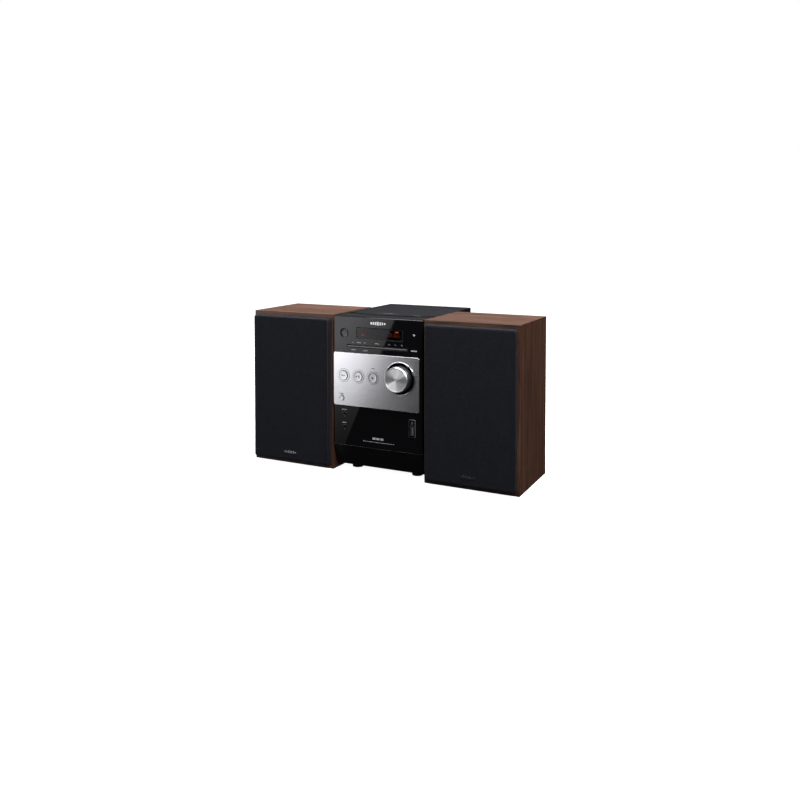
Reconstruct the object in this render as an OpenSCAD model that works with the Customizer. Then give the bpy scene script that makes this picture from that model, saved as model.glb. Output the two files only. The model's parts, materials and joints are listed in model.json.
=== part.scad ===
// Mini hifi system: a compact disc player and amplifier that stands between two bookshelf speakers.
// Millimetres. +X is right as seen from the front, +Y is towards the back, +Z is up.
// The origin is in the middle of the footprint, on the shelf.

/* [Main unit] */
// Width of the main unit
unit_w = 150; // [148:1:156]
// Depth of the main unit's case
unit_d = 190; // [186:1:210]
// Height of the main unit's top
unit_h = 240; // [238:1:246]
// Height at which the front panel starts, above the curved skirt
panel_bottom = 41; // [36:1:46]
// Height of the front panel's top edge
panel_top = 238.5; // [236:0.5:240]
// Thickness of the front panel
panel_t = 3; // [2.5:0.1:3]
// Thickness of the side and rear covers
cover_t = 2; // [1.6:0.1:2.2]
// Height of the base above the shelf
foot_h = 8; // [6:0.5:9]
// How far the volume knob's face stands in front of the panel
knob_out = 15; // [10:1:20]
// How far the aerial socket stands out of the back
rear_out = 6; // [5:0.5:10]

/* [Front panel layout] */
// Width of the brushed plate
plate_w = 145.2; // [140:0.2:146]
// Height of the brushed plate
plate_h = 81.5; // [76:0.5:84]
// Height of the brushed plate's middle
plate_z = 142.75; // [140:0.25:145]
// How far the brushed plate stands proud of the panel
plate_t = 1.6; // [1:0.1:2.5]
// Volume knob's place across the front, from the middle
knob_x = 38.4; // [34:0.1:39]
// Height of the volume knob, the disc buttons and their rings
control_z = 149; // [146:0.5:152]
// Radius of the volume knob
knob_r = 19; // [15:0.5:20]
// Radius of the bright ring round the volume knob
knob_ring_r = 25; // [22:0.5:26]
// First disc button's place across the front
button_x = -57.3; // [-60:0.1:-55]
// Step from one disc button to the next
button_step = 25.4; // [24:0.1:27]
// Radius of a disc button's cap
button_r = 7.2; // [6:0.1:7.2]
// Height of the line of bar keys
key_z = 193.8; // [191:0.2:196]
// Length of one bar key
key_w = 20; // [16:0.5:20]
// Step from one bar key to the next
key_step = 20.25; // [20.25:0.05:21]
// Width of the display window
window_w = 76.4; // [60:0.2:78]
// Height of the display window
window_h = 16; // [14:0.2:18]
// Distance that every button travels when it is pressed
press = 0.8; // [0.4:0.1:0.9]

/* [Disc compartment] */
// Radius of the well that a 120 mm disc lies in
well_r = 61; // [60.5:0.1:61]
// Width of the lid
lid_w = 128; // [126:0.5:128]
// Depth of the lid, front to back
lid_d = 144; // [142:0.5:146]
// Distance from the front of the panel to the front edge of the lid
lid_front = 33; // [30:1:34]
// Radius of the lid's curved front edge
lid_curve = 200; // [180:5:400]
// Thickness of the lid
lid_t = 3; // [2.4:0.1:3]
// Distance that the laser sled travels
sled_travel = 33; // [28:1:33]

/* [Speakers] */
// Width of a speaker cabinet
speaker_w = 146; // [140:1:156]
// Depth of a speaker cabinet
speaker_d = 124; // [115:1:180]
// Height of a speaker cabinet
speaker_h = 240; // [236:1:260]
// Gap between the main unit and each speaker
speaker_gap = 2.25; // [1:0.25:20]
// Thickness of the cabinet's boards
board_t = 9; // [9:0.5:10]
// How far the grille stands in front of the cabinet
grille_out = 10; // [7:0.1:10]
// Margin between the grille and the cabinet's sides
grille_side = 4; // [4:0.5:7]
// Margin above the grille
grille_above = 6; // [4:0.5:8]
// Margin below the grille
grille_below = 6; // [4:0.5:9]
// Radius of the woofer's mounting flange
woofer_r = 57; // [52:1:57]
// Height of the woofer's axis
woofer_z = 88; // [84:1:92]
// Height of the tweeter's axis
tweeter_z = 188; // [182:1:190]

/* [Hidden] */
$fn = 64;
slip = 0.05;     // radial clearance of a running fit
play = 0.25;     // clearance round a button

// The case, from the front face back
front_y = -(knob_out + unit_d + rear_out) / 2 + knob_out;
back_y = front_y + unit_d;
half_w = unit_w / 2;
inner_w = half_w - cover_t;
return_d = 8;                       // depth of the front panel's side returns
skirt_d = 22;                       // depth of the skirt
skirt_rake = 9;                     // how far the skirt's face leans back by its lower corner
skirt_round = 5;                    // radius of the skirt's lower corner
skirt_wall = 2.2;
deck_skirt = unit_h - 18;           // lower edge of the top deck's walls
deck_under = unit_h - 5.6;          // underside of the top deck's plate
foot_x = 51.5;
foot_r = 9;
foot_front = 33;                    // front feet, from the front face
foot_back = 168;                    // rear feet, from the front face
deck_round = 1.5;                   // radius of the top deck's long edges
screw_r = 1.45;
screw_z = [45, 125, 205];           // heights of the screws of the back
clips_x = -18;                      // sockets of the back
clips_z = 36;
inlet_x = 44;
inlet_z = 34;
aerial_x = -38;
aerial_z = 92;
coax_x = aerial_x - 10;

// Front panel features
power_x = -56.9;
power_z = 213.4;
power_r = 6.4;
sound_x = -60.7;
sound_z = 113.4;
sound_r = 4;
window_x = 3.3;
window_z = 214.4;
jack_x = -57;
jack_z = [89, 69];
jack_bore = 1.8;                    // a 3.5 mm plug's socket
usb_x = 58.25;
usb_z = 78.2;
usb_h = 26.4;                       // height of the USB socket's frame
key_h = 1.7;
slot_h = 3.8;
ring_out = 1.2;                     // how far the bright rings stand in front of the plate
cap_flange_y = panel_t + 0.4;       // front of the flange that keeps a cap in
switch_y = 9;                       // front of the switches on the front board
stem_end = switch_y - press - 0.1;
button_z = control_z - 0.6;
knob_z = control_z + 1.7;

// Disc compartment
lid_y = front_y + lid_front + lid_d / 2;
lid_gap = 0.4;                      // gap round the closed lid
lid_step = 1.2;                     // how far the deck in front of the lid lies below it
lid_spindle = 69;                   // from the lid's front edge to the spindle
well_y = front_y + lid_front + lid_spindle;
well_floor = unit_h - 16;
recess_floor = unit_h - 3.4;
lid_z = unit_h - lid_t - 0.1;       // underside of the closed lid
hinge_back = 4;                     // from the lid's rear edge to the hinge axis
hinge_y = front_y + lid_front + lid_d - hinge_back;
hinge_z = unit_h - 2.8;
hinge_pin_r = 1.2;
seat_z = unit_h - 10.2;             // where the disc lies on the turntable
deck_z = unit_h - 30;               // underside of the disc mechanism's frame
deck_t = 2;
rail_z = deck_z + 6;
rail_y = 10;
rail_r = 1.5;
rail_start = 11;
rail_end = 67;
sled_x = 23;                        // the lens at rest, from the spindle
sled_l = 14;
sled_half = 13;
pinion_r = 8;                       // pitch radius of the feed gear
pinion_teeth = 16;
pinion_x = 30;
rack_y = -18;                       // the rack's pitch line, from the spindle
tooth_pitch = 2 * PI * pinion_r / pinion_teeth;
shaft_r = 1.2;

// Speakers
speaker_x = half_w + speaker_gap + speaker_w / 2;
speaker_y = front_y + 1.1;
grille_w = speaker_w - 2 * grille_side;
grille_h = speaker_h - grille_above - grille_below;
grille_z = grille_below + grille_h / 2;
cloth_t = 0.7;
peg_x = speaker_w / 2 - 12;
peg_z = [18, speaker_h - 18];
cup_z = 62;                         // height of the speaker's terminals
woofer_bore = 47.5;                 // inside the woofer's frame
woofer_basket = 50.5;               // outside the woofer's frame
tweeter_body = 20.9;
peg_r = 3;
peg_l = 6;
coil_r = 12.4;                      // middle of the voice coil's wall
port_r = 14.5;
port_z = 172;

// ---- shapes that repeat ----

// A rectangle with round corners, about its middle
module rounded_rect(w, h, r) {
    square([w - 2 * r, h], center = true);
    square([w, h - 2 * r], center = true);
    for (i = [-1, 1], j = [-1, 1]) translate([i * (w / 2 - r), j * (h / 2 - r)]) circle(r);
}

// An upright plate facing the front: its flat shape is drawn in X and Z
module upright(y, t) {
    translate([0, y + t, 0]) rotate([90, 0, 0]) linear_extrude(t) children();
}

// An upright plate with round corners, about the middle x, z
module upright_plate(x, z, w, h, r, y, t) {
    upright(y, t) translate([x, z]) rounded_rect(w, h, r);
}

// A rod along Y, from y backwards
module rod_y(x, z, r, y, l) {
    translate([x, y, z]) rotate([-90, 0, 0]) cylinder(h = l, r = r);
}

// A cone along Y, from its front radius to its back radius
module cone_y(x, z, front_r, back_r, y, l) {
    translate([x, y, z]) rotate([-90, 0, 0]) cylinder(h = l, r1 = front_r, r2 = back_r);
}

// A tube along Y
module tube_y(x, z, r, bore, y, l) {
    difference() {
        rod_y(x, z, r, y, l);
        rod_y(x, z, bore, y - 1, l + 2);
    }
}

// A bar that runs across, from -half to half: its side view is drawn in Y and Z
module across(half) {
    translate([-half, 0, 0]) rotate([90, 0, 90]) linear_extrude(2 * half) children();
}

// A rod along X, from x to the right
module rod_x(x, y, z, r, l) {
    translate([x, y, z]) rotate([0, 90, 0]) cylinder(h = l, r = r);
}

// A block given by its lowest corner and its highest corner
module block(low, high) {
    translate(low) cube(high - low);
}

// A cap that is pressed: cap, keeper flange behind the panel, and stem towards its switch
module round_cap(x, z, r, out) {
    rod_y(x, z, r, front_y - out, out + cap_flange_y + 1);
    rod_y(x, z, r + 1.6, front_y + cap_flange_y, 1.2);
    rod_y(x, z, 2, front_y + cap_flange_y, stem_end - cap_flange_y);
}

// Places that the five bar keys take, from the left
function key_x(i) = -0.9 + (i - 2) * key_step;

// Places that the three disc buttons take, from the left
function disc_button_x(i) = button_x + i * button_step;

// ---- main unit: casing ----

module base_chassis() {
    low = [-inner_w, front_y + skirt_d, foot_h];
    high = [inner_w, back_y - cover_t, foot_h + 16];
    color("dimgray") {
        difference() {
            block(low, high);
            block(low + [cover_t, cover_t, cover_t], high + [-cover_t, -cover_t, 1]);
            for (x = [-foot_x, foot_x], y = [foot_front, foot_back])
                translate([x, front_y + y, foot_h - 1]) cylinder(h = 4, r = 2.5);
        }
        for (x = [-8, 62], y = [40, 150])
            translate([x, front_y + y, foot_h + cover_t]) cylinder(h = 16, r = 3);
    }
}

module unit_feet() {
    color("black") for (x = [-foot_x, foot_x], y = [foot_front, foot_back]) translate([x, front_y + y, 0]) {
        cylinder(h = foot_h, r1 = foot_r - 0.6, r2 = foot_r);
        cylinder(h = foot_h + cover_t, r = 2.4);
    }
}

// One side cover. side is -1 on the left and 1 on the right
module side_cover(side) {
    x_out = side * half_w;
    x_in = side * inner_w;
    color([0.1, 0.1, 0.11]) difference() {
        union() {
            block([min(x_out, x_in), front_y + return_d, foot_h], [max(x_out, x_in), back_y, deck_skirt]);
            block([min(x_in, x_in - side * 9), back_y - 2 * cover_t, foot_h + 20],
                  [max(x_in, x_in - side * 9), back_y - cover_t, deck_skirt]);
        }
        block([-unit_w, front_y, 0], [unit_w, front_y + skirt_d, panel_bottom]);
        for (i = [0:7]) block([-unit_w, front_y + 70 + i * 10, 40], [unit_w, front_y + 74 + i * 10, 76]);
        for (z = screw_z) rod_y(side * (inner_w - 4), z, screw_r + slip, back_y - 10, 12);
    }
}

module side_cover_left() { side_cover(-1); }
module side_cover_right() { side_cover(1); }

module rear_panel() {
    color([0.13, 0.13, 0.14]) difference() {
        block([-inner_w, back_y - cover_t, foot_h], [inner_w, back_y, deck_skirt]);
        upright_plate(inlet_x, inlet_z, 25, 17, 1, back_y - 4, 6);
        upright_plate(clips_x, clips_z, 54, 23, 1, back_y - 4, 6);
        upright_plate(aerial_x, aerial_z, 41, 17, 1, back_y - 4, 6);
        for (i = [0:11]) block([-39 + i * 7, back_y - 4, 130], [-36 + i * 7, back_y + 1, 190]);
        for (x = [-1, 1], z = screw_z) rod_y(x * (inner_w - 4), z, screw_r + slip, back_y - 10, 12);
    }
}

module case_screws() {
    color("silver") for (x = [-1, 1], z = screw_z) difference() {
        union() {
            rod_y(x * (inner_w - 4), z, screw_r, back_y - 7, 7.5);
            rod_y(x * (inner_w - 4), z, 3, back_y, 1.6);
        }
        translate([x * (inner_w - 4) - 2, back_y + 0.8, z - 0.4]) cube([4, 2, 0.8]);
        translate([x * (inner_w - 4) - 0.4, back_y + 0.8, z - 2]) cube([0.8, 2, 4]);
    }
}

module deck_outline() {
    r = deck_round;
    translate([-half_w, deck_skirt]) square([unit_w, unit_h - deck_skirt - r]);
    translate([-half_w + r, deck_skirt]) square([unit_w - 2 * r, unit_h - deck_skirt]);
    for (x = [-1, 1]) translate([x * (half_w - r), unit_h - r]) circle(r);
}

// The lid's outline seen from above, larger by a gap all round
module lid_outline(gap) {
    intersection() {
        translate([0, lid_y]) rounded_rect(lid_w + 2 * gap, lid_d + 2 * gap, 7.6 + gap);
        translate([0, front_y + lid_front + lid_curve]) circle(lid_curve + gap, $fn = 128);
    }
}

module top_deck() {
    color([0.18, 0.18, 0.19]) difference() {
        union() {
            difference() {
                upright(front_y + panel_t, unit_d - panel_t) deck_outline();
                block([-inner_w, front_y + panel_t + 2, 0], [inner_w, back_y - cover_t, deck_under]);
            }
            translate([0, well_y, well_floor - 2])
                cylinder(h = deck_under - well_floor + 3, r = well_r + 2);
        }
        translate([0, 0, recess_floor]) linear_extrude(10) lid_outline(lid_gap);
        translate([0, 0, unit_h - lid_step]) linear_extrude(5) difference() {
            translate([-unit_w, front_y]) square([2 * unit_w, lid_front + 20]);
            translate([0, front_y + lid_front + lid_curve]) circle(lid_curve + lid_gap, $fn = 128);
        }
        translate([0, well_y, well_floor]) cylinder(h = 30, r = well_r, $fn = 96);
        translate([0, well_y, well_floor - 5]) cylinder(h = 30, r = 17);
        block([0, well_y - 5, well_floor - 5], [well_r - 0.6, well_y + 5, well_floor + 1]);
        rod_x(-lid_w / 2 - lid_gap, hinge_y, hinge_z, 4.3, lid_w + 2 * lid_gap);
        rod_x(-lid_w / 2 - 4, hinge_y, hinge_z, hinge_pin_r + slip, lid_w + 8);
    }
}

module front_panel() {
    mid_z = (panel_bottom + panel_top) / 2;
    tall = panel_top - panel_bottom;
    color([0.03, 0.03, 0.035]) difference() {
        union() {
            upright_plate(0, mid_z, unit_w, tall, 1.5, front_y, panel_t);
            difference() {
                block([-half_w, front_y + 1, panel_bottom + 2], [half_w, front_y + return_d, deck_skirt]);
                block([-inner_w, front_y, panel_bottom], [inner_w, front_y + 50, panel_top]);
            }
        }
        upright_plate(window_x, window_z, window_w + 0.1, window_h + 0.1, 1, front_y - 1, 8);
        rod_y(knob_x, knob_z, knob_ring_r - 0.2 + slip, front_y - 1, 8);
        for (i = [0:2]) rod_y(disc_button_x(i), button_z, button_r + 1.3 + slip, front_y - 1, 8);
        rod_y(power_x, power_z, power_r + play, front_y - 1, 8);
        rod_y(sound_x, sound_z, sound_r + play, front_y - 1, 8);
        block([key_x(0) - key_w / 2 - 0.3, front_y - 1, key_z - slot_h / 2],
              [key_x(4) + key_w / 2 + 0.3, front_y + 8, key_z + slot_h / 2]);
        for (z = jack_z) rod_y(jack_x, z, 3.4 + slip, front_y - 1, 8);
        upright_plate(usb_x, usb_z, 9.4, usb_h - 1.9, 0.8, front_y - 1, 8);
    }
}

// The skirt seen from the side, drawn in Y and Z. over is how far it runs past its top and its back
module skirt_side(inset, over) {
    corner_y = skirt_rake + skirt_round;
    corner_z = foot_h + skirt_round;
    low = foot_h + inset;
    translate([front_y, 0]) {
        polygon([[inset, panel_bottom + over], [skirt_rake + inset, corner_z], [corner_y, low],
                 [skirt_d + over, low], [skirt_d + over, panel_bottom + over]]);
        translate([corner_y, corner_z]) circle(skirt_round - inset);
    }
}

module front_skirt() {
    color([0.04, 0.04, 0.045]) difference() {
        across(half_w) skirt_side(0, 0);
        across(inner_w) skirt_side(skirt_wall, 1);
    }
}

// ---- main unit: front trim and sockets ----

module silver_plate() {
    x_mid = -half_w + plate_w / 2;
    color([0.78, 0.78, 0.8]) difference() {
        upright_plate(x_mid, plate_z, plate_w, plate_h, 3, front_y - plate_t, plate_t);
        rod_y(knob_x, knob_z, knob_ring_r - 0.2 + slip, front_y - 5, 8);
        for (i = [0:2]) rod_y(disc_button_x(i), button_z, button_r + 1.3 + slip, front_y - 5, 8);
        rod_y(sound_x, sound_z, sound_r + play, front_y - 5, 8);
    }
}

module display_window() {
    color([0.1, 0.02, 0.02, 0.8]) upright_plate(window_x, window_z, window_w, window_h, 1, front_y, 2.4);
}

module display_module() {
    color([0.2, 0.05, 0.03]) upright_plate(window_x, window_z - 0.6, 72, 16, 1, front_y + panel_t, 8);
}

module knob_ring() {
    face = front_y - plate_t - ring_out;
    color("silver") difference() {
        union() {
            tube_y(knob_x, knob_z, knob_ring_r - 0.2, knob_ring_r - 1.6, face, front_y + 6 - face);
            tube_y(knob_x, knob_z, knob_ring_r, knob_ring_r - 1.6, face, ring_out);
            rod_y(knob_x, knob_z, knob_ring_r - 1, front_y + 4.6, 1.4);
        }
        rod_y(knob_x, knob_z, 4.6, front_y, 10);
    }
}

module button_rings() {
    face = front_y - plate_t;
    color("silver") for (i = [0:2]) {
        tube_y(disc_button_x(i), button_z, button_r + 1.3, button_r + play, face, plate_t + panel_t);
        tube_y(disc_button_x(i), button_z, button_r + 3.2, button_r + play, face - 0.8, 0.8);
    }
}

module front_jacks() {
    color("dimgray") for (z = jack_z) difference() {
        union() {
            rod_y(jack_x, z, 3.6, front_y - 0.6, 0.6);
            rod_y(jack_x, z, 3.4, front_y - 0.6, 6);
            block([jack_x - 4.5, front_y + panel_t, z - 4.5], [jack_x + 4.5, front_y + 16, z + 4.5]);
        }
        rod_y(jack_x, z, jack_bore, front_y - 1, 15);
    }
}

module usb_port() {
    color("dimgray") difference() {
        union() {
            upright_plate(usb_x, usb_z, 10.5, usb_h, 1.2, front_y - 1.2, 1.2);
            upright_plate(usb_x, usb_z, 9.3, usb_h - 2, 0.7, front_y, 16);
        }
        block([usb_x - 2.7, front_y - 3, usb_z - 6.8], [usb_x + 2.7, front_y + 14, usb_z + 6.8]);
    }
    color("white") block([usb_x - 1, front_y + 5, usb_z - 5.5], [usb_x + 1, front_y + 14, usb_z + 5.5]);
}

module volume_encoder() {
    color("silver") difference() {
        union() {
            block([knob_x - 7, front_y + 6, knob_z - 7], [knob_x + 7, front_y + 12, knob_z + 7]);
            rod_y(knob_x, knob_z, 4.5, front_y + 4.6, 2);
        }
        rod_y(knob_x, knob_z, 3 + slip, front_y, 20);
    }
}

// ---- main unit: inside ----

module main_board() {
    z = foot_h + 18;
    color("darkgreen") block([-14, front_y + 34, z], [69, front_y + 156, z + 1.6]);
    color("black") for (i = [0:3]) translate([2 + i * 16, front_y + 60, z + 1.6]) cylinder(h = 18, r = 5);
    color("black") block([20, front_y + 90, z + 1.6], [46, front_y + 116, z + 4]);
    color("white") for (x = [-8, 16, 40])
        block([x, front_y + 38, z + 1.6], [x + 16, front_y + 44, z + 9]);
}

module front_board() {
    y = front_y + 12;
    color("darkgreen") difference() {
        upright_plate(0, 140, 134, 160, 1, y, 1.6);
        rod_y(knob_x, knob_z, 3.4, y - 1, 5);
        for (z = jack_z) rod_y(jack_x, z, 6.6, y - 1, 5);
        upright_plate(usb_x, usb_z, 10, usb_h - 1.3, 0.5, y - 1, 5);
    }
    color("black") {
        for (i = [0:2]) rod_y(disc_button_x(i), button_z, 3, front_y + switch_y, 3);
        for (i = [0:4]) rod_y(key_x(i), key_z, 3, front_y + switch_y, 3);
        rod_y(power_x, power_z, 3, front_y + switch_y, 3);
        rod_y(sound_x, sound_z, 3, front_y + switch_y, 3);
    }
}

module power_transformer() {
    low = [-66, front_y + 52, foot_h + cover_t];
    color("gray") {
        block(low, low + [46, 66, 3]);
        difference() {
            block(low + [4, 12, 3], low + [42, 54, 45]);
            for (x = [10, 28]) block(low + [x, 0, 12], low + [x + 8, 66, 36]);
        }
    }
    color("goldenrod") for (x = [10.2, 28.2]) block(low + [x, 6, 12.2], low + [x + 7.6, 60, 35.8]);
}

module heat_sink() {
    z = foot_h + 19.6;
    color("silver") {
        block([4, front_y + 140, z], [66, front_y + 144, z + 60]);
        for (i = [0:8]) block([5 + i * 7.3, front_y + 144, z], [6.6 + i * 7.3, front_y + 154, z + 60]);
    }
}

module tuner_module() {
    z = foot_h + 19.6;
    color("silver") block([-12, front_y + 118, z], [2, front_y + 152, z + 26]);
}

// ---- main unit: disc mechanism ----

module cd_deck_frame() {
    color([0.25, 0.25, 0.27]) difference() {
        union() {
            block([-36, well_y - 40, deck_z], [71, well_y + 40, deck_z + deck_t]);
            for (x = [-30, 62], y = [-34, 34])
                translate([x, well_y + y, deck_z]) cylinder(h = well_floor - 2 - deck_z, r = 4);
            for (x = [rail_start - 2, rail_end - 1], y = [-rail_y, rail_y])
                block([x, well_y + y - 2.4, deck_z], [x + 3, well_y + y + 2.4, rail_z + 3]);
            translate([pinion_x, well_y + rack_y - pinion_r, deck_z]) cylinder(h = 8, r = 1.5);
        }
        translate([0, well_y, deck_z - 1]) cylinder(h = 9, r = 3.6);
        block([15, well_y - 7, deck_z - 1], [64, well_y + 7, deck_z + 9]);
        for (y = [-rail_y, rail_y])
            rod_x(rail_start - 2.5, well_y + y, rail_z, rail_r, rail_end - rail_start + 5);
    }
}

module laser_rails() {
    color("silver") for (y = [-rail_y, rail_y])
        rod_x(rail_start - 2, well_y + y, rail_z, rail_r, rail_end - rail_start + 4);
}

module spindle_motor() {
    color("gray") difference() {
        union() {
            translate([0, well_y, deck_z - 13]) cylinder(h = 13, r = 12);
            translate([0, well_y, deck_z - 1]) cylinder(h = 5, r = 3.5);
        }
        translate([0, well_y, deck_z - 10]) cylinder(h = 20, r = shaft_r + slip);
    }
}

module turntable() {
    color([0.12, 0.12, 0.13]) translate([0, well_y, 0]) {
        translate([0, 0, seat_z - 2.2]) cylinder(h = 2.2, r = 15);
        translate([0, 0, seat_z - 6]) cylinder(h = 5, r = 5);
        translate([0, 0, seat_z - 0.5]) cylinder(h = 1.6, r1 = 7.45, r2 = 6.6);
        translate([0, 0, deck_z - 8]) cylinder(h = seat_z - deck_z + 6, r = shaft_r);
    }
}

module laser_sled() {
    left = sled_x - sled_l / 2;
    right = left + sled_l;
    color([0.2, 0.2, 0.22]) difference() {
        union() {
            block([left, well_y - sled_half, rail_z - 2.7], [right, well_y + sled_half, rail_z + 3.4]);
            translate([sled_x, well_y, rail_z + 3]) cylinder(h = 5.4, r = 3.5);
        }
        for (y = [-rail_y, rail_y]) rod_x(left - 1, well_y + y, rail_z, rail_r + slip, sled_l + 2);
        translate([sled_x, well_y, rail_z + 6]) cylinder(h = 4, r = 2);
    }
    color("white") translate([0, well_y, rail_z - 2.7]) linear_extrude(3) {
        translate([pinion_x - sled_travel - 5, rack_y + 1.3]) square([sled_travel + 12, 4]);
        for (i = [0:12]) rack_tooth(pinion_x + tooth_pitch * (0.5 + i - 11));
    }
    color("lightblue") translate([sled_x, well_y, rail_z + 6]) cylinder(h = 1.6, r = 2);
}

// One tooth of the rack, pointing at the feed gear
module rack_tooth(x) {
    translate([x, rack_y]) polygon([[-0.85, 1.4], [0.85, 1.4], [0.35, -0.8], [-0.35, -0.8]]);
}

module feed_gear() {
    root = pinion_r - 1.5;
    tip = pinion_r + 0.8;
    place = [pinion_x, well_y + rack_y - pinion_r, rail_z - 2.7];
    color("ivory") translate(place) linear_extrude(3) difference() {
        union() {
            circle(pinion_r - 1.2);
            for (i = [0:pinion_teeth - 1]) rotate(90 + i * 360 / pinion_teeth)
                polygon([[root, -1], [tip, -0.4], [tip, 0.4], [root, 1]]);
        }
        circle(1.5 + slip);
    }
}

module cd_lid() {
    color([0.16, 0.16, 0.17]) {
        difference() {
            translate([0, 0, lid_z]) linear_extrude(lid_t) lid_outline(0);
            block([-lid_w, hinge_y + 2.4, 0], [lid_w, back_y, unit_h + 5]);
        }
        rod_x(-lid_w / 2 + 2, hinge_y, hinge_z, 2.4, lid_w - 4);
        rod_x(-lid_w / 2 - 2.4, hinge_y, hinge_z, hinge_pin_r, lid_w + 4.8);
        translate([0, well_y, lid_z - 3.6]) cylinder(h = 4, r = 2.5);
        translate([0, well_y, lid_z - 2.4]) difference() {
            cylinder(h = 2.6, r = 19);
            translate([0, 0, -1]) cylinder(h = 6, r = 16.5);
        }
    }
}

module disc_clamp() {
    color([0.12, 0.12, 0.13]) translate([0, well_y, 0]) difference() {
        translate([0, 0, seat_z + 1.4]) cylinder(h = 4.4, r = 15.5);
        translate([0, 0, seat_z + 1]) cylinder(h = 1.4, r = 8.2);
        translate([0, 0, lid_z - 4]) cylinder(h = 6, r = 2.5 + slip);
    }
}

// ---- main unit: rear sockets ----

module speaker_terminals() {
    clip_x = [for (i = [0:3]) clips_x + (i - 1.5) * 12];
    color([0.1, 0.1, 0.1]) difference() {
        union() {
            upright_plate(clips_x, clips_z, 53.8, 22.8, 1, back_y - 8, 8);
            upright_plate(clips_x, clips_z, 58, 27, 1.5, back_y, 1.5);
            for (x = clip_x) block([x - 3, back_y, clips_z + 1], [x + 3, back_y + 5, clips_z + 9]);
        }
        for (x = clip_x) rod_y(x, clips_z - 6, 1.6, back_y - 5, 8);
    }
}

module mains_inlet() {
    color([0.06, 0.06, 0.06]) difference() {
        union() {
            upright_plate(inlet_x, inlet_z, 24.8, 16.8, 1, back_y - 16, 16);
            upright_plate(inlet_x, inlet_z, 29, 21, 1.5, back_y, 1.5);
        }
        upright_plate(inlet_x, inlet_z, 17, 9, 2, back_y - 12, 20);
    }
    color("silver") for (x = [-4.5, 4.5]) rod_y(inlet_x + x, inlet_z, 1.15, back_y - 12, 10);
}

module aerial_socket() {
    color([0.1, 0.1, 0.1]) {
        upright_plate(aerial_x, aerial_z, 40.8, 16.8, 1, back_y - 6, 6);
        upright_plate(aerial_x, aerial_z, 45, 21, 1.5, back_y, 1.5);
        for (x = [aerial_x + 5, aerial_x + 16])
            block([x, back_y, aerial_z - 4], [x + 7, back_y + 4.5, aerial_z + 5]);
    }
    color("silver") {
        tube_y(coax_x, aerial_z, 4.75, 4, back_y + 1.4, rear_out - 1.4);
        rod_y(coax_x, aerial_z, 1.15, back_y + 1.4, rear_out - 2.4);
    }
}

// ---- main unit: controls ----

module volume_knob() {
    face = front_y - knob_out;
    color([0.8, 0.8, 0.82]) {
        difference() {
            union() {
                cone_y(knob_x, knob_z, knob_r - 1.2, knob_r, face, 1.2);
                rod_y(knob_x, knob_z, knob_r, face + 1.2, knob_out + 1.3);
            }
            tube_y(knob_x, knob_z, knob_r - 2.5, 6, face + 4, knob_out + 4);
        }
        rod_y(knob_x, knob_z, 3, face + 3, knob_out + 8);
    }
}

module power_button() { color([0.05, 0.05, 0.05]) round_cap(power_x, power_z, power_r, 0.8); }
module function_button() { color([0.8, 0.8, 0.8]) round_cap(disc_button_x(0), button_z, button_r, 3.4); }
module play_pause_button() { color([0.8, 0.8, 0.8]) round_cap(disc_button_x(1), button_z, button_r, 3.4); }
module stop_button() { color([0.8, 0.8, 0.8]) round_cap(disc_button_x(2), button_z, button_r, 3.4); }
module sound_button() { color([0.8, 0.8, 0.8]) round_cap(sound_x, sound_z, sound_r, 2.8); }

// One bar key: a slim bright bar, its keeper behind the panel and two stems
module bar_key(i) {
    x = key_x(i);
    color([0.85, 0.85, 0.87]) {
        upright_plate(x, key_z, key_w, key_h, 0.3, front_y - 1, cap_flange_y + 1.5);
        upright_plate(x, key_z, key_w, 6, 0.5, front_y + cap_flange_y, 1.2);
        rod_y(x, key_z, 1.8, front_y + cap_flange_y, stem_end - cap_flange_y);
    }
}

module tune_down_key() { bar_key(0); }
module tune_up_key() { bar_key(1); }
module menu_key() { bar_key(2); }
module track_back_key() { bar_key(3); }
module track_next_key() { bar_key(4); }

// ---- speakers ----
// Each is drawn about its own middle, with its front board's face at y = 0, and then put in place

module at_speaker(side) {
    translate([side * speaker_x, speaker_y, 0]) children();
}

module cabinet() {
    half = speaker_w / 2;
    boards = [board_t, board_t, board_t];
    color([0.3, 0.2, 0.15]) difference() {
        block([-half, 0, 0], [half, speaker_d, speaker_h]);
        block([-half, 0, 0] + boards, [half, speaker_d, speaker_h] - boards);
        rod_y(0, woofer_z, woofer_basket + 0.1, -1, board_t + 2);
        rod_y(0, tweeter_z, tweeter_body + 0.1, -1, board_t + 2);
        for (x = [-peg_x, peg_x], z = peg_z) rod_y(x, z, peg_r, -1, peg_l + 2);
        rod_y(0, port_z, port_r + 1.5 + slip, speaker_d - board_t - 1, board_t + 2);
        upright_plate(0, cup_z, 54, 34, 2, speaker_d - board_t - 1, board_t + 2);
    }
}

module port_tube() {
    color([0.08, 0.08, 0.08]) {
        tube_y(0, port_z, port_r + 1.5, port_r, speaker_d - 62, 62.01);
        tube_y(0, port_z, port_r + 5, port_r, speaker_d, 2);
    }
}

module woofer_frame() {
    color([0.2, 0.2, 0.2]) difference() {
        union() {
            rod_y(0, woofer_z, woofer_r, -2.4, 2.4);
            rod_y(0, woofer_z, woofer_basket, -0.5, 11);
            cone_y(0, woofer_z, woofer_basket, 34, 10.5, 28);
            rod_y(0, woofer_z, 36, 38, 20);
        }
        rod_y(0, woofer_z, woofer_bore, -5, 13);
        cone_y(0, woofer_z, woofer_bore, 30, 7.99, 30);
        tube_y(0, woofer_z, coil_r + 0.55, coil_r - 0.55, 36, 18);
        for (a = [0:60:300]) translate([0, 0, woofer_z]) rotate([0, a, 0]) block([30, 14, -9], [60, 34, 9]);
        for (a = [45:90:315]) translate([0, 0, woofer_z]) rotate([0, a, 0]) rod_y(53, 0, 2.1, -5, 10);
    }
}

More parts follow.
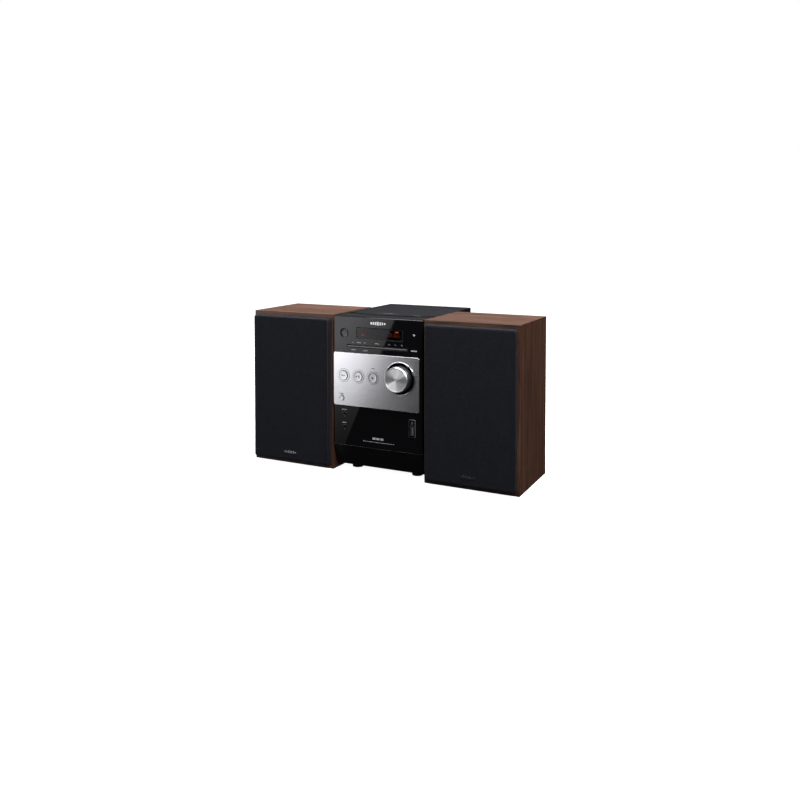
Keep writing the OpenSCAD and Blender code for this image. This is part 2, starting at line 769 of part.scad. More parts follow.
module woofer_cone() {
    inner = coil_r - 0.25;
    color([0.12, 0.12, 0.12]) {
        translate([0, 0, woofer_z]) rotate([-90, 0, 0]) rotate_extrude($fn = 96)
            polygon([[41.5, 5], [41.5, 5.8], [40.5, 5.8], [inner, 27], [inner, 26], [40.2, 5]]);
        tube_y(0, woofer_z, coil_r + 0.25, coil_r - 0.25, 25.5, 22.5);
        intersection() {
            difference() {
                translate([0, 37.5, woofer_z]) sphere(r = 20, $fn = 96);
                translate([0, 37.5, woofer_z]) sphere(r = 19.2, $fn = 96);
            }
            rod_y(0, woofer_z, 15.5, 10, 15);
        }
    }
}

module tweeter() {
    color([0.1, 0.1, 0.1]) {
        difference() {
            union() {
                rod_y(0, tweeter_z, 26, -2.4, 2.4);
                rod_y(0, tweeter_z, tweeter_body, -1, 21);
            }
            cone_y(0, tweeter_z, 18, 13, -2.5, 4.5);
            for (a = [45:90:315])
                translate([0, 0, tweeter_z]) rotate([0, a, 0]) rod_y(22.5, 0, 1.6, -5, 10);
        }
        intersection() {
            translate([0, 9, tweeter_z]) sphere(r = 12.5);
            rod_y(0, tweeter_z, 11, -5, 9);
        }
    }
}

module terminal_plate() {
    color([0.08, 0.08, 0.08]) difference() {
        union() {
            upright_plate(0, cup_z, 53.8, 33.8, 2, speaker_d - board_t, board_t);
            upright_plate(0, cup_z, 62, 42, 3, speaker_d, 2);
            for (x = [-12, 12]) block([x - 5, speaker_d, cup_z], [x + 5, speaker_d + 7, cup_z + 10]);
        }
        for (x = [-12, 12]) rod_y(x, cup_z - 8, 1.6, speaker_d - 6, 12);
        for (x = [-27, 27], z = [-17, 17]) rod_y(x, cup_z + z, 1.3, speaker_d - 6, 12);
    }
}

module grille_frame() {
    w = grille_w - 2 * cloth_t;
    h = grille_h - 2 * cloth_t;
    front = cloth_t - grille_out;
    color([0.06, 0.06, 0.06]) {
        difference() {
            upright_plate(0, grille_z, w, h, 3, front, -front);
            upright_plate(0, grille_z, w - 19, h - 19, 4, front - 1, 20);
            upright_plate(0, grille_z, w - 17, h - 17, 4, -3.2, 20);
        }
        block([-w / 2 + 8, front, 150], [w / 2 - 8, front + 4, 156]);
        for (x = [-peg_x, peg_x], z = peg_z) rod_y(x, z, peg_r - slip, front + 2, peg_l - front - 2);
    }
}

module grille_cloth() {
    w = grille_w - 2 * cloth_t;
    h = grille_h - 2 * cloth_t;
    color([0.08, 0.08, 0.1]) difference() {
        upright_plate(0, grille_z, grille_w, grille_h, 3.7, -grille_out, grille_out - 0.4);
        upright_plate(0, grille_z, w, h, 3, cloth_t - grille_out, 20);
    }
}

module cabinet_left() { at_speaker(-1) cabinet(); }
module port_tube_left() { at_speaker(-1) port_tube(); }
module woofer_frame_left() { at_speaker(-1) woofer_frame(); }
module woofer_cone_left() { at_speaker(-1) woofer_cone(); }
module tweeter_left() { at_speaker(-1) tweeter(); }
module terminal_plate_left() { at_speaker(-1) terminal_plate(); }
module grille_frame_left() { at_speaker(-1) grille_frame(); }
module grille_cloth_left() { at_speaker(-1) grille_cloth(); }
module cabinet_right() { at_speaker(1) cabinet(); }
module port_tube_right() { at_speaker(1) port_tube(); }
module woofer_frame_right() { at_speaker(1) woofer_frame(); }
module woofer_cone_right() { at_speaker(1) woofer_cone(); }
module tweeter_right() { at_speaker(1) tweeter(); }
module terminal_plate_right() { at_speaker(1) terminal_plate(); }
module grille_frame_right() { at_speaker(1) grille_frame(); }
module grille_cloth_right() { at_speaker(1) grille_cloth(); }

base_chassis();
unit_feet();
side_cover_left();
side_cover_right();
rear_panel();
top_deck();
front_panel();
front_skirt();
silver_plate();
display_window();
display_module();
knob_ring();
button_rings();
front_jacks();
usb_port();
volume_encoder();
main_board();
front_board();
power_transformer();
heat_sink();
tuner_module();
cd_deck_frame();
laser_rails();
spindle_motor();
speaker_terminals();
mains_inlet();
aerial_socket();
case_screws();
cd_lid();
disc_clamp();
turntable();
laser_sled();
feed_gear();
volume_knob();
power_button();
function_button();
play_pause_button();
stop_button();
sound_button();
tune_down_key();
tune_up_key();
menu_key();
track_back_key();
track_next_key();
cabinet_left();
port_tube_left();
woofer_frame_left();
woofer_cone_left();
tweeter_left();
terminal_plate_left();
grille_frame_left();
grille_cloth_left();
cabinet_right();
port_tube_right();
woofer_frame_right();
woofer_cone_right();
tweeter_right();
terminal_plate_right();
grille_frame_right();
grille_cloth_right();
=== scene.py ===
"""The looks of a mini hifi system: a top-loading disc player between two bookshelf speakers.

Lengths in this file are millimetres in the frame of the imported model: +X right, +Y back, +Z up,
with the origin in the middle of the footprint. They become metres only when a mesh is made.
"""

import json
import logging
import math
from dataclasses import dataclass
from enum import Enum
from typing import Callable, Iterable, Sequence

import bmesh
import bpy
from mathutils import Matrix, Vector


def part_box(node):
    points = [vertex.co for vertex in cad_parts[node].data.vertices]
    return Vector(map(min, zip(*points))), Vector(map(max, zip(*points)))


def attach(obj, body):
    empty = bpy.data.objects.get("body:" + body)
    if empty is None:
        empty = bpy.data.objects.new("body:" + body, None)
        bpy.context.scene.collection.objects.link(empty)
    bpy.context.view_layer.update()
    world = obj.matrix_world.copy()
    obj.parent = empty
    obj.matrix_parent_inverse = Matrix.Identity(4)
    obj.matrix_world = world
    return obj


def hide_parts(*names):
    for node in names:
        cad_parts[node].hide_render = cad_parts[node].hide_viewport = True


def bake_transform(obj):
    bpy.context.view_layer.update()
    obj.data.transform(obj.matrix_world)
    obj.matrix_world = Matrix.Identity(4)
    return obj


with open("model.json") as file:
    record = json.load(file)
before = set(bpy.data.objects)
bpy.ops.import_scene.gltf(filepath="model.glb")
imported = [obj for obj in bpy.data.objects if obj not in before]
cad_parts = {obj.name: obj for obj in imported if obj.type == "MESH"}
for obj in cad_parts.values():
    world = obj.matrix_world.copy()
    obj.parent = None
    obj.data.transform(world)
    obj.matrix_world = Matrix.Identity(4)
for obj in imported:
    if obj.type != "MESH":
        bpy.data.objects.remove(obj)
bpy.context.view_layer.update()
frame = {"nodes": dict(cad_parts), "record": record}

MM = 0.001
LOG = logging.getLogger("hifi")
Point = tuple[float, float]
Place = tuple[float, float, float]
Outline = list[Point]


class Side(Enum):
    """Which of the two speakers a piece belongs to."""

    LEFT = "left"
    RIGHT = "right"


class Layout(Enum):
    """How a repeated piece is laid out."""

    RING = "ring"
    ROW = "row"


# ---------------------------------------------------------------- places read from the frame


@dataclass(frozen=True)
class Extent:
    """A CAD node's box, in millimetres."""

    low: Vector
    high: Vector

    @classmethod
    def of(cls, node: str) -> "Extent":
        """The box of one CAD node at rest."""
        low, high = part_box(node)
        return cls(low / MM, high / MM)

    @property
    def middle(self) -> Vector:
        """The middle of the box."""
        return (self.low + self.high) / 2

    @property
    def size(self) -> Vector:
        """The box's size along each axis."""
        return self.high - self.low


# ---------------------------------------------------------------- scene helpers


def placed(name: str, data: bpy.types.ID) -> bpy.types.Object:
    """A new object with this data, linked to the scene."""
    holder = bpy.data.objects.new(name, data)
    bpy.context.scene.collection.objects.link(holder)
    return holder


def evaluated_mesh(holder: bpy.types.Object) -> bpy.types.Mesh:
    """The mesh that an object's curve or modifiers give."""
    graph = bpy.context.evaluated_depsgraph_get()
    return bpy.data.meshes.new_from_object(holder.evaluated_get(graph))


# ---------------------------------------------------------------- outlines


def soften(corners: Sequence[tuple[float, float, float]], steps: int = 5, closed: bool = True) -> Outline:
    """Rounds the corners of an outline.

    Args:
        corners: Each corner's two coordinates and the radius of its rounding.
        steps: Number of chords in each rounding.
        closed: Whether the last corner joins the first.

    Returns:
        The points of the rounded outline.
    """
    points: Outline = []
    count = len(corners)
    for index, (x, y, radius) in enumerate(corners):
        inside = closed or 0 < index < count - 1
        if radius <= 0 or not inside:
            points.append((x, y))
            continue
        here = Vector((x, y))
        before = Vector(corners[index - 1][:2]) - here
        after = Vector(corners[(index + 1) % count][:2]) - here
        half = before.angle(after) / 2
        reach = min(radius / math.tan(half), 0.499 * before.length, 0.499 * after.length)
        radius = reach * math.tan(half)
        hub = here + (before.normalized() + after.normalized()).normalized() * (radius / math.sin(half))
        start = here + before.normalized() * reach - hub
        turn = start.angle_signed(here + after.normalized() * reach - hub)
        for step in range(steps + 1):
            angle = -turn * step / steps
            spun = Vector((start.x * math.cos(angle) - start.y * math.sin(angle),
                           start.x * math.sin(angle) + start.y * math.cos(angle)))
            points.append(tuple(hub + spun))
    return points


def rounded_rectangle(x: float, z: float, width: float, height: float, radius: float,
                      steps: int = 6) -> Outline:
    """An upright rectangle with round corners, about its middle."""
    w, h = width / 2, height / 2
    corners = [(x + across * w, z + up * h, radius) for across, up in ((-1, -1), (1, -1), (1, 1), (-1, 1))]
    return soften(corners, steps)


def ring_oval(x: float, z: float, half_wide: float, half_high: float, steps: int = 40) -> Outline:
    """An oval's points, about its middle."""
    turns = [2 * math.pi * i / steps for i in range(steps)]
    return [(x + half_wide * math.cos(t), z + half_high * math.sin(t)) for t in turns]


def ring_points(x: float, z: float, radius: float, steps: int = 48) -> Outline:
    """A circle's points, about its middle."""
    return ring_oval(x, z, radius, radius, steps)


def dome_profile(radius: float, rim: float, height: float, steps: int = 10) -> Outline:
    """A dome's profile: from its middle, which stands this height before the rim, outwards."""
    turns = [math.pi / 2 * i / steps for i in range(steps + 1)]
    return [(radius * math.sin(t), rim - height * math.cos(t)) for t in turns]


# ---------------------------------------------------------------- meshes


def finished_mesh(work: bmesh.types.BMesh, name: str, smooth_below: float = 35.0,
                  flat_from: float = 400.0) -> bpy.types.Mesh:
    """Merges doubles, turns faces outwards and shades smooth below an angle.

    Args:
        work: The mesh in progress, in metres. It is freed.
        name: The new mesh's name.
        smooth_below: Edges flatter than this many degrees are smooth.
        flat_from: Square faces of at least this many square millimetres are shaded flat, so that a
            polished one mirrors without waves.

    Returns:
        The mesh.
    """
    bmesh.ops.remove_doubles(work, verts=work.verts, dist=2e-6)
    bmesh.ops.dissolve_degenerate(work, edges=work.edges, dist=1e-7)
    bmesh.ops.recalc_face_normals(work, faces=work.faces)
    limit = math.radians(smooth_below)
    for face in work.faces:
        square = max(abs(part) for part in face.normal) > 0.999999
        face.smooth = not (square and face.calc_area() >= flat_from * MM * MM)
    for edge in work.edges:
        edge.smooth = len(edge.link_faces) == 2 and edge.calc_face_angle(0.0) < limit
    mesh = bpy.data.meshes.new(name)
    work.to_mesh(mesh)
    work.free()
    return mesh


def lathe(name: str, profile: Outline, centre: Place, steps: int = 96, ring: bool = False,
          axis: str = "Y") -> bpy.types.Mesh:
    """Turns a profile round an axis.

    Args:
        name: The new mesh's name.
        profile: Points as radius and distance along the axis.
        centre: The place that distance 0 stands at.
        steps: Number of steps round.
        ring: Whether the profile is a closed loop, as for a ring.
        axis: Y turns round a line front to back, Z round an upright one.

    Returns:
        The turned mesh.
    """
    work = bmesh.new()
    rows = []
    for radius, along in profile:
        row = []
        for step in range(steps if radius > 1e-6 else 1):
            turn = 2 * math.pi * step / steps
            a, b = radius * math.cos(turn), radius * math.sin(turn)
            spot = (a, along, b) if axis == "Y" else (a, b, along)
            row.append(work.verts.new((Vector(centre) + Vector(spot)) * MM))
        rows.append(row)
    pairs = list(zip(rows, rows[1:])) + ([(rows[-1], rows[0])] if ring else [])
    for first, second in pairs:
        for step in range(steps):
            corners = []
            for row, at in ((first, step), (first, step + 1), (second, step + 1), (second, step)):
                vertex = row[at % len(row)]
                if vertex not in corners:
                    corners.append(vertex)
            if len(corners) > 2:
                work.faces.new(corners)
    return finished_mesh(work, name)


def plate(name: str, outline: Outline, holes: Iterable[Outline], near: float, thickness: float,
          bevel: float, flat: bool = False, segments: int = 2) -> bpy.types.Mesh:
    """An upright plate with holes and rounded edges, which faces the front.

    Args:
        name: The new mesh's name.
        outline: The outer edge, as x and z.
        holes: The edges of the holes.
        near: Y of the front face, or z of the underside where the plate lies flat.
        thickness: The plate's thickness.
        bevel: Radius of the rounding along every edge.
        flat: Lies flat, with the outline as x and y.
        segments: Chords in the edge's rounding.

    Returns:
        The plate's mesh.
    """
    curve = bpy.data.curves.new(name, "CURVE")
    curve.dimensions = "2D"
    curve.fill_mode = "BOTH"
    curve.extrude = (thickness / 2 - bevel) * MM
    curve.bevel_depth = bevel * MM
    curve.bevel_resolution = segments
    curve.offset = -bevel * MM
    for loop, inner in [(outline, False)] + [(hole, True) for hole in holes]:
        area = sum(a[0] * b[1] - b[0] * a[1] for a, b in zip(loop, loop[1:] + loop[:1]))
        ordered = loop if (area < 0) != inner else loop[::-1]
        spline = curve.splines.new("POLY")
        spline.points.add(len(ordered) - 1)
        for point, (x, z) in zip(spline.points, ordered):
            point.co = (x * MM, z * MM, 0, 1)
        spline.use_cyclic_u = True
    holder = placed(name, curve)
    mesh = evaluated_mesh(holder)
    bpy.data.objects.remove(holder)
    if flat:
        mesh.transform(Matrix.Translation((0, 0, (near + thickness / 2) * MM)))
    else:
        turned = Matrix.Rotation(math.pi / 2, 4, "X")
        mesh.transform(Matrix.Translation((0, (near + thickness / 2) * MM, 0)) @ turned)
    work = bmesh.new()
    work.from_mesh(mesh)
    bpy.data.meshes.remove(mesh)
    return finished_mesh(work, name, flat_from=0.0)


def joined(name: str, parts: Iterable[bpy.types.Mesh]) -> bpy.types.Mesh:
    """Several meshes as one. Each keeps its own material number."""
    work = bmesh.new()
    for part in parts:
        work.from_mesh(part)
        bpy.data.meshes.remove(part)
    mesh = bpy.data.meshes.new(name)
    work.to_mesh(mesh)
    work.free()
    return mesh


def with_modifier(mesh: bpy.types.Mesh, kind: str, **settings: object) -> bpy.types.Mesh:
    """Runs one modifier on a mesh.

    Args:
        mesh: The mesh, which is used up.
        kind: The modifier's type.
        settings: The modifier's settings.

    Returns:
        The mesh that comes out.
    """
    holder = placed("holder", mesh)
    modifier = holder.modifiers.new("step", kind)
    for key, value in settings.items():
        setattr(modifier, key, value)
    done = evaluated_mesh(holder)
    bpy.data.objects.remove(holder)
    bpy.data.meshes.remove(mesh)
    return done


def numbered(mesh: bpy.types.Mesh, number: int) -> bpy.types.Mesh:
    """Gives every face of a mesh one material number."""
    mesh.polygons.foreach_set("material_index", [number] * len(mesh.polygons))
    return mesh


def renumber(mesh: bpy.types.Mesh, number: int, wanted: Callable[[Vector, Vector], bool]) -> bpy.types.Mesh:
    """Gives a material number to the faces that a test picks.

    Args:
        mesh: The mesh.
        number: The material number.
        wanted: Takes a face's centre in millimetres and its normal.

    Returns:
        The same mesh.
    """
    for face in mesh.polygons:
        if wanted(face.center / MM, face.normal):
            face.material_index = number
    return mesh


def number_sides(mesh: bpy.types.Mesh, number: int, most: float = 0.97) -> bpy.types.Mesh:
    """Gives a material number to the faces that look neither straight forward nor straight back."""
    return renumber(mesh, number, lambda centre, normal: abs(normal.y) < most)


def from_axis(point: Vector, x: float, z: float) -> float:
    """A point's distance from a line that runs front to back."""
    return math.hypot(point.x - x, point.z - z)


def bar(low: Place, high: Place, bevel: float) -> bpy.types.Mesh:
    """A block between two corners, with rounded edges."""
    work = bmesh.new()
    made = bmesh.ops.create_cube(work, size=1.0)
    size = Vector(high) - Vector(low)
    bmesh.ops.scale(work, vec=size * MM, verts=made["verts"])
    bmesh.ops.translate(work, vec=(Vector(low) + size / 2) * MM, verts=made["verts"])
    if bevel > 0:
        bmesh.ops.bevel(work, geom=list(work.edges), offset=bevel * MM, segments=2, profile=0.5,
                        affect="EDGES")
    return finished_mesh(work, "bar")


def refined(node: str, bevel: float, segments: int = 2) -> bpy.types.Mesh:
    """A copy of a CAD node with its sharp edges rounded.

    Args:
        node: The CAD node.
        bevel: Radius of the rounding.
        segments: Chords in the rounding.

    Returns:
        The refined mesh.
    """
    work = bmesh.new()
    work.from_mesh(frame["nodes"][node].data)
    bmesh.ops.remove_doubles(work, verts=work.verts, dist=2e-6)
    bmesh.ops.dissolve_limit(work, angle_limit=math.radians(0.4), verts=work.verts, edges=work.edges)
    for face in work.faces:
        face.material_index = 0
    if bevel > 0:
        least = math.radians(40)
        sharp = [e for e in work.edges if len(e.link_faces) == 2 and e.calc_face_angle(0.0) > least]
        bmesh.ops.bevel(work, geom=sharp, offset=bevel * MM, segments=segments, profile=0.5,
                        affect="EDGES", clamp_overlap=True)
    for face in work.faces:
        if len(face.verts) > 4:
            face.normal_update()
    return finished_mesh(work, node)


def bar_emblem(x: float, z: float, width: float, height: float, near: float,
               depth: float) -> bpy.types.Mesh:
    """A plain emblem: seven upright bars, tallest in the middle.

    Args:
        x: Its middle across.
        z: Its middle height.
        width: Its width.
        height: The middle bar's height.
        near: Y of its front.
        depth: Its thickness.

    Returns:
        The emblem's mesh.
    """
    bars = []
    for step in range(-3, 4):
        half = height / 2 * (1 - 0.13 * abs(step))
        at = x + step * width / 6.7
        wide = width * 0.05
        bars.append(bar((at - wide, near, z - half), (at + wide, near + depth, z + half), 0.15))
    return joined("emblem", bars)


# ---------------------------------------------------------------- repeated pieces


@dataclass(frozen=True)
class Repeat:
    """Copies of one small mesh, laid out by a Geometry Nodes tree."""

    count: int
    start: Place
    radius: float = 0.0
    step: Place = (0.0, 0.0, 0.0)

    @property
    def layout(self) -> Layout:
        """A row where a step is given, and a ring otherwise."""
        return Layout.ROW if any(self.step) else Layout.RING

    def tree(self) -> bpy.types.NodeTree:
        """Builds the tree: points on a circle or a line, an instance on each, made real."""
        tree = bpy.data.node_groups.new("repeat_" + self.layout.value, "GeometryNodeTree")
        face = tree.interface
        face.new_socket("Piece", in_out="INPUT", socket_type="NodeSocketGeometry")
        face.new_socket("Count", in_out="INPUT", socket_type="NodeSocketInt")
        face.new_socket("Radius", in_out="INPUT", socket_type="NodeSocketFloat")
        face.new_socket("Start", in_out="INPUT", socket_type="NodeSocketVector")
        face.new_socket("Step", in_out="INPUT", socket_type="NodeSocketVector")
        face.new_socket("Finish", in_out="INPUT", socket_type="NodeSocketMaterial")
        face.new_socket("Copies", in_out="OUTPUT", socket_type="NodeSocketGeometry")
        add, link = tree.nodes.new, tree.links.new
        given, result = add("NodeGroupInput"), add("NodeGroupOutput")
        place = add("GeometryNodeTransform")
        if self.layout is Layout.RING:
            points = add("GeometryNodeMeshCircle")
            link(given.outputs["Count"], points.inputs["Vertices"])
            link(given.outputs["Radius"], points.inputs["Radius"])
            place.inputs["Rotation"].default_value = (math.pi / 2, math.pi / 4, 0)
            link(given.outputs["Start"], place.inputs["Translation"])
        else:
            points = add("GeometryNodeMeshLine")
            link(given.outputs["Count"], points.inputs["Count"])
            link(given.outputs["Start"], points.inputs["Start Location"])
            link(given.outputs["Step"], points.inputs["Offset"])
        copies, real = add("GeometryNodeInstanceOnPoints"), add("GeometryNodeRealizeInstances")
        dress = add("GeometryNodeSetMaterial")
        link(points.outputs["Mesh"], place.inputs["Geometry"])
        link(place.outputs["Geometry"], copies.inputs["Points"])
        link(given.outputs["Piece"], copies.inputs["Instance"])
        link(copies.outputs["Instances"], real.inputs["Geometry"])
        link(real.outputs["Geometry"], dress.inputs["Geometry"])
        link(given.outputs["Finish"], dress.inputs["Material"])
        link(dress.outputs["Geometry"], result.inputs["Copies"])
        return tree

    def make(self, unit: bpy.types.Mesh, finish: bpy.types.Material) -> bpy.types.Mesh:
        """Runs the tree on one small mesh.

        Args:
            unit: The mesh that is repeated, drawn about the origin.
            finish: Its material.

        Returns:
            One mesh with every copy in it.
        """
        holder = placed("holder", unit)
        modifier = holder.modifiers.new("repeat", "NODES")
        modifier.node_group = self.tree()
        values = {
            "Count": self.count, "Radius": self.radius * MM, "Start": [v * MM for v in self.start],
            "Step": [v * MM for v in self.step], "Finish": finish,
        }
        for item in modifier.node_group.interface.items_tree:
            if item.in_out == "INPUT" and item.name in values:
                modifier[item.identifier] = values[item.name]
        holder.update_tag()
        mesh = evaluated_mesh(holder)
        holder.modifiers.remove(modifier)
        bpy.data.objects.remove(holder)
        return mesh


# ---------------------------------------------------------------- finishes


Value = float | tuple | bpy.types.NodeSocket


class Recipe:
    """A material's node tree, with short calls that add nodes and join them."""

    def __init__(self, name: str) -> None:
        """Starts a material with its Principled shader."""
        self.material = bpy.data.materials.new(name)
        self.material.use_nodes = True
        self.tree = self.material.node_tree
        self.shader = self.tree.nodes["Principled BSDF"]
        self.place = self.tree.nodes.new("ShaderNodeTexCoord").outputs["Object"]

    def add(self, kind: str, inputs: dict[str | int, Value], **settings: object) -> bpy.types.Node:
        """Adds a node.

        Args:
            kind: The node's type, without its ShaderNode prefix.
            inputs: Input name or number, to a value or to another node's output.
            settings: The node's own settings.

        Returns:
            The node.
        """
        node = self.tree.nodes.new("ShaderNode" + kind)
        for key, value in settings.items():
            setattr(node, key, value)
        self.feed(node, inputs)
        return node

    def feed(self, node: bpy.types.Node, inputs: dict[str | int, Value]) -> None:
        """Sets a node's inputs, each to a value or to another node's output."""
        for key, value in inputs.items():
            if isinstance(value, bpy.types.NodeSocket):
                self.tree.links.new(value, node.inputs[key])
            else:
                node.inputs[key].default_value = value

    def noise(self, scale: float, stretch: Place = (1, 1, 1), detail: float = 3.0,
              place: bpy.types.NodeSocket | None = None) -> bpy.types.NodeSocket:
        """A noise pattern's value.

        Args:
            scale: Features per metre.
            stretch: How much the pattern is squeezed along each axis.
            detail: Octaves of finer noise.
            place: Coordinates, if not the object's own.

        Returns:
            The socket with the value.
        """
        mapped = self.add("Mapping", {"Vector": place or self.place, "Scale": stretch})
        inputs = {"Vector": mapped.outputs[0], "Scale": scale, "Detail": detail}
        return self.add("TexNoise", inputs).outputs[0]

    def calc(self, operation: str, first: Value, second: Value | None = None) -> bpy.types.NodeSocket:
        """The result of a sum on one or two values."""
        inputs = {0: first} if second is None else {0: first, 1: second}
        return self.add("Math", inputs, operation=operation).outputs[0]

    def blend(self, first: Value, second: Value, share: float) -> bpy.types.NodeSocket:
        """Two values mixed, with this share of the second."""
        return self.add("Mix", {"Factor": share, 2: first, 3: second}, data_type="FLOAT").outputs[0]

    def about(self, centre: Place) -> tuple[bpy.types.NodeSocket, ...]:
        """The coordinates X, Y and Z about a centre."""
        moved = self.add("Mapping", {"Vector": self.place, "Location": tuple(-v * MM for v in centre)})
        return tuple(self.add("SeparateXYZ", {0: moved.outputs[0]}).outputs)

    def distance(self, across: bpy.types.NodeSocket, up: bpy.types.NodeSocket) -> bpy.types.NodeSocket:
        """The distance from a centre, from the two coordinates about it."""
        flat = self.add("CombineXYZ", {0: across, 1: up})
        return self.add("VectorMath", {0: flat.outputs[0]}, operation="LENGTH").outputs["Value"]

    def ramp(self, value: bpy.types.NodeSocket,
             stops: Sequence[tuple[float, tuple]]) -> bpy.types.NodeSocket:
        """Turns a value into a colour, through stops of position and colour."""
        node = self.add("ValToRGB", {0: value})
        ramp = node.color_ramp
        while len(ramp.elements) < len(stops):
            ramp.elements.new(0.5)
        for element, (position, colour) in zip(ramp.elements, stops):
            element.position = position
            element.color = (*colour, 1.0)
        return node.outputs[0]

    def span(self, value: bpy.types.NodeSocket, low: float, high: float) -> bpy.types.NodeSocket:
        """Stretches a value from 0 to 1 over a new span."""
        return self.add("MapRange", {0: value, 3: low, 4: high}).outputs[0]

    def bump(self, height: bpy.types.NodeSocket, depth: float, strength: float = 1.0) -> None:
        """Feeds a height, of this depth in millimetres, to the shader's normal."""
        node = self.add("Bump", {"Height": height, "Distance": depth * MM, "Strength": strength})
        self.tree.links.new(node.outputs[0], self.shader.inputs["Normal"])

    def surface(self, inputs: dict[str | int, Value]) -> bpy.types.Material:
        """Sets the shader's inputs and hands over the material."""
        self.feed(self.shader, inputs)
        return self.material


@dataclass(frozen=True)
class Moulded:
    """Moulded plastic, rubber or paint, with a fine grain and slight unevenness."""

    name: str
    colour: tuple[float, float, float]
    roughness: float = 0.4
    grain: float = 900.0
    depth: float = 0.02
    specular: float = 0.5
    coat: float = 0.0
    spread: float = 0.12

    def material(self) -> bpy.types.Material:
        """The finished material."""
        recipe = Recipe(self.name)
        cloud = recipe.noise(35.0, detail=4.0)
        grain = recipe.noise(self.grain, detail=2.0)
        darker = tuple(c * (1 - self.spread) for c in self.colour)
        lighter = tuple(min(1.0, c * (1 + self.spread)) for c in self.colour)
        recipe.bump(grain, self.depth)
        return recipe.surface({
            "Base Color": recipe.ramp(cloud, [(0.3, darker), (0.7, lighter)]),
            "Roughness": recipe.span(cloud, self.roughness * 0.9, self.roughness * 1.1),
            "Specular IOR Level": self.specular, "Coat Weight": self.coat, "Coat Roughness": 0.02,
        })


@dataclass(frozen=True)
class Brushed:
    """Metal with fine parallel scratches along one axis, or turned rings round a centre."""

    name: str
    colour: tuple[float, float, float]
    roughness: float = 0.3
    stretch: Place = (0.02, 1.0, 1.0)
    scratch: float = 2600.0
    anisotropy: float = 0.6
    tangent: str = "Z"
    depth: float = 0.001
    centre: Place | None = None
    turn: float = 0.25
    streak: float = 0.07

    def material(self) -> bpy.types.Material:
        """The finished material."""
        recipe = Recipe(self.name)
        place = recipe.place
        if self.centre is not None:
            across, along, up = recipe.about(self.centre)
            place = recipe.add("CombineXYZ", {0: recipe.distance(across, up), 1: along}).outputs[0]
        lines = recipe.noise(self.scratch, self.stretch, 2.0, place)
        streaks = recipe.noise(self.scratch * 0.15, self.stretch, 3.0, place)
        recipe.bump(lines, self.depth)
        tangent = recipe.add("Tangent", {}, direction_type="RADIAL", axis=self.tangent)
        dim = tuple(c * (1 - self.streak) for c in self.colour)
        return recipe.surface({
            "Base Color": recipe.ramp(streaks, [(0.3, dim), (0.7, self.colour)]), "Metallic": 1.0,
            "Roughness": recipe.span(lines, self.roughness * 0.8, self.roughness * 1.2),
            "Anisotropic": self.anisotropy, "Anisotropic Rotation": self.turn,
            "Tangent": tangent.outputs[0],
        })


@dataclass(frozen=True)
class Spun:
    """A face turned on a lathe: fine rings, an anisotropic sheen, and bright and dim sectors of that sheen
    painted into its colour as painted highlights.
    """

    name: str
    centre: Place
    roughness: float = 0.62
    rings: float = 2600.0
    painted_sheen_sectors: tuple[tuple[float, float], ...] = (
        (0.0, 0.70), (0.05, 0.85), (0.10, 0.62), (0.16, 0.90), (0.22, 1.0), (0.36, 1.0), (0.42, 0.85),
        (0.47, 0.68), (0.52, 0.82), (0.57, 0.72), (0.62, 1.0), (0.72, 1.0), (0.78, 0.75), (0.84, 0.62),
        (0.92, 0.82), (1.0, 0.70),
    )

    def material(self) -> bpy.types.Material:
        """The finished material."""
        recipe = Recipe(self.name)
        across, _, up = recipe.about(self.centre)
        turn = recipe.calc("ARCTAN2", up, across)
        share = recipe.add("MapRange", {0: turn, 1: -math.pi, 2: math.pi, 3: 0.5, 4: 1.5}).outputs[0]
        share = recipe.calc("FRACT", share)
        radius = recipe.add("CombineXYZ", {0: recipe.distance(across, up)}).outputs[0]
        lines = recipe.noise(self.rings, (1, 1, 1), 2.0, radius)
        recipe.bump(lines, 0.002)
        tangent = recipe.add("Tangent", {}, direction_type="RADIAL", axis="Y")
        # Painted highlight: the sheen's bright and dim sectors are painted into the base colour by angle
        # round the hub.
        stops = [(position, (level, level, level * 1.02)) for position, level in self.painted_sheen_sectors]
        return recipe.surface({
            "Base Color": recipe.ramp(share, stops), "Metallic": 1.0,
            "Roughness": recipe.span(lines, self.roughness * 0.8, self.roughness * 1.2),
            "Anisotropic": 0.95, "Anisotropic Rotation": 0.25, "Tangent": tangent.outputs[0],
        })


@dataclass(frozen=True)
class Polished:
    """Bright plated or polished metal with faint cleaning marks."""

    name: str
    colour: tuple[float, float, float] = (0.86, 0.86, 0.88)
    roughness: float = 0.08

    def material(self) -> bpy.types.Material:
        """The finished material."""
        recipe = Recipe(self.name)
        smear = recipe.noise(260.0, (1, 1, 0.3), 3.0)
        return recipe.surface({
            "Base Color": (*self.colour, 1.0), "Metallic": 1.0,
            "Roughness": recipe.span(smear, self.roughness * 0.6, self.roughness * 1.5),
        })


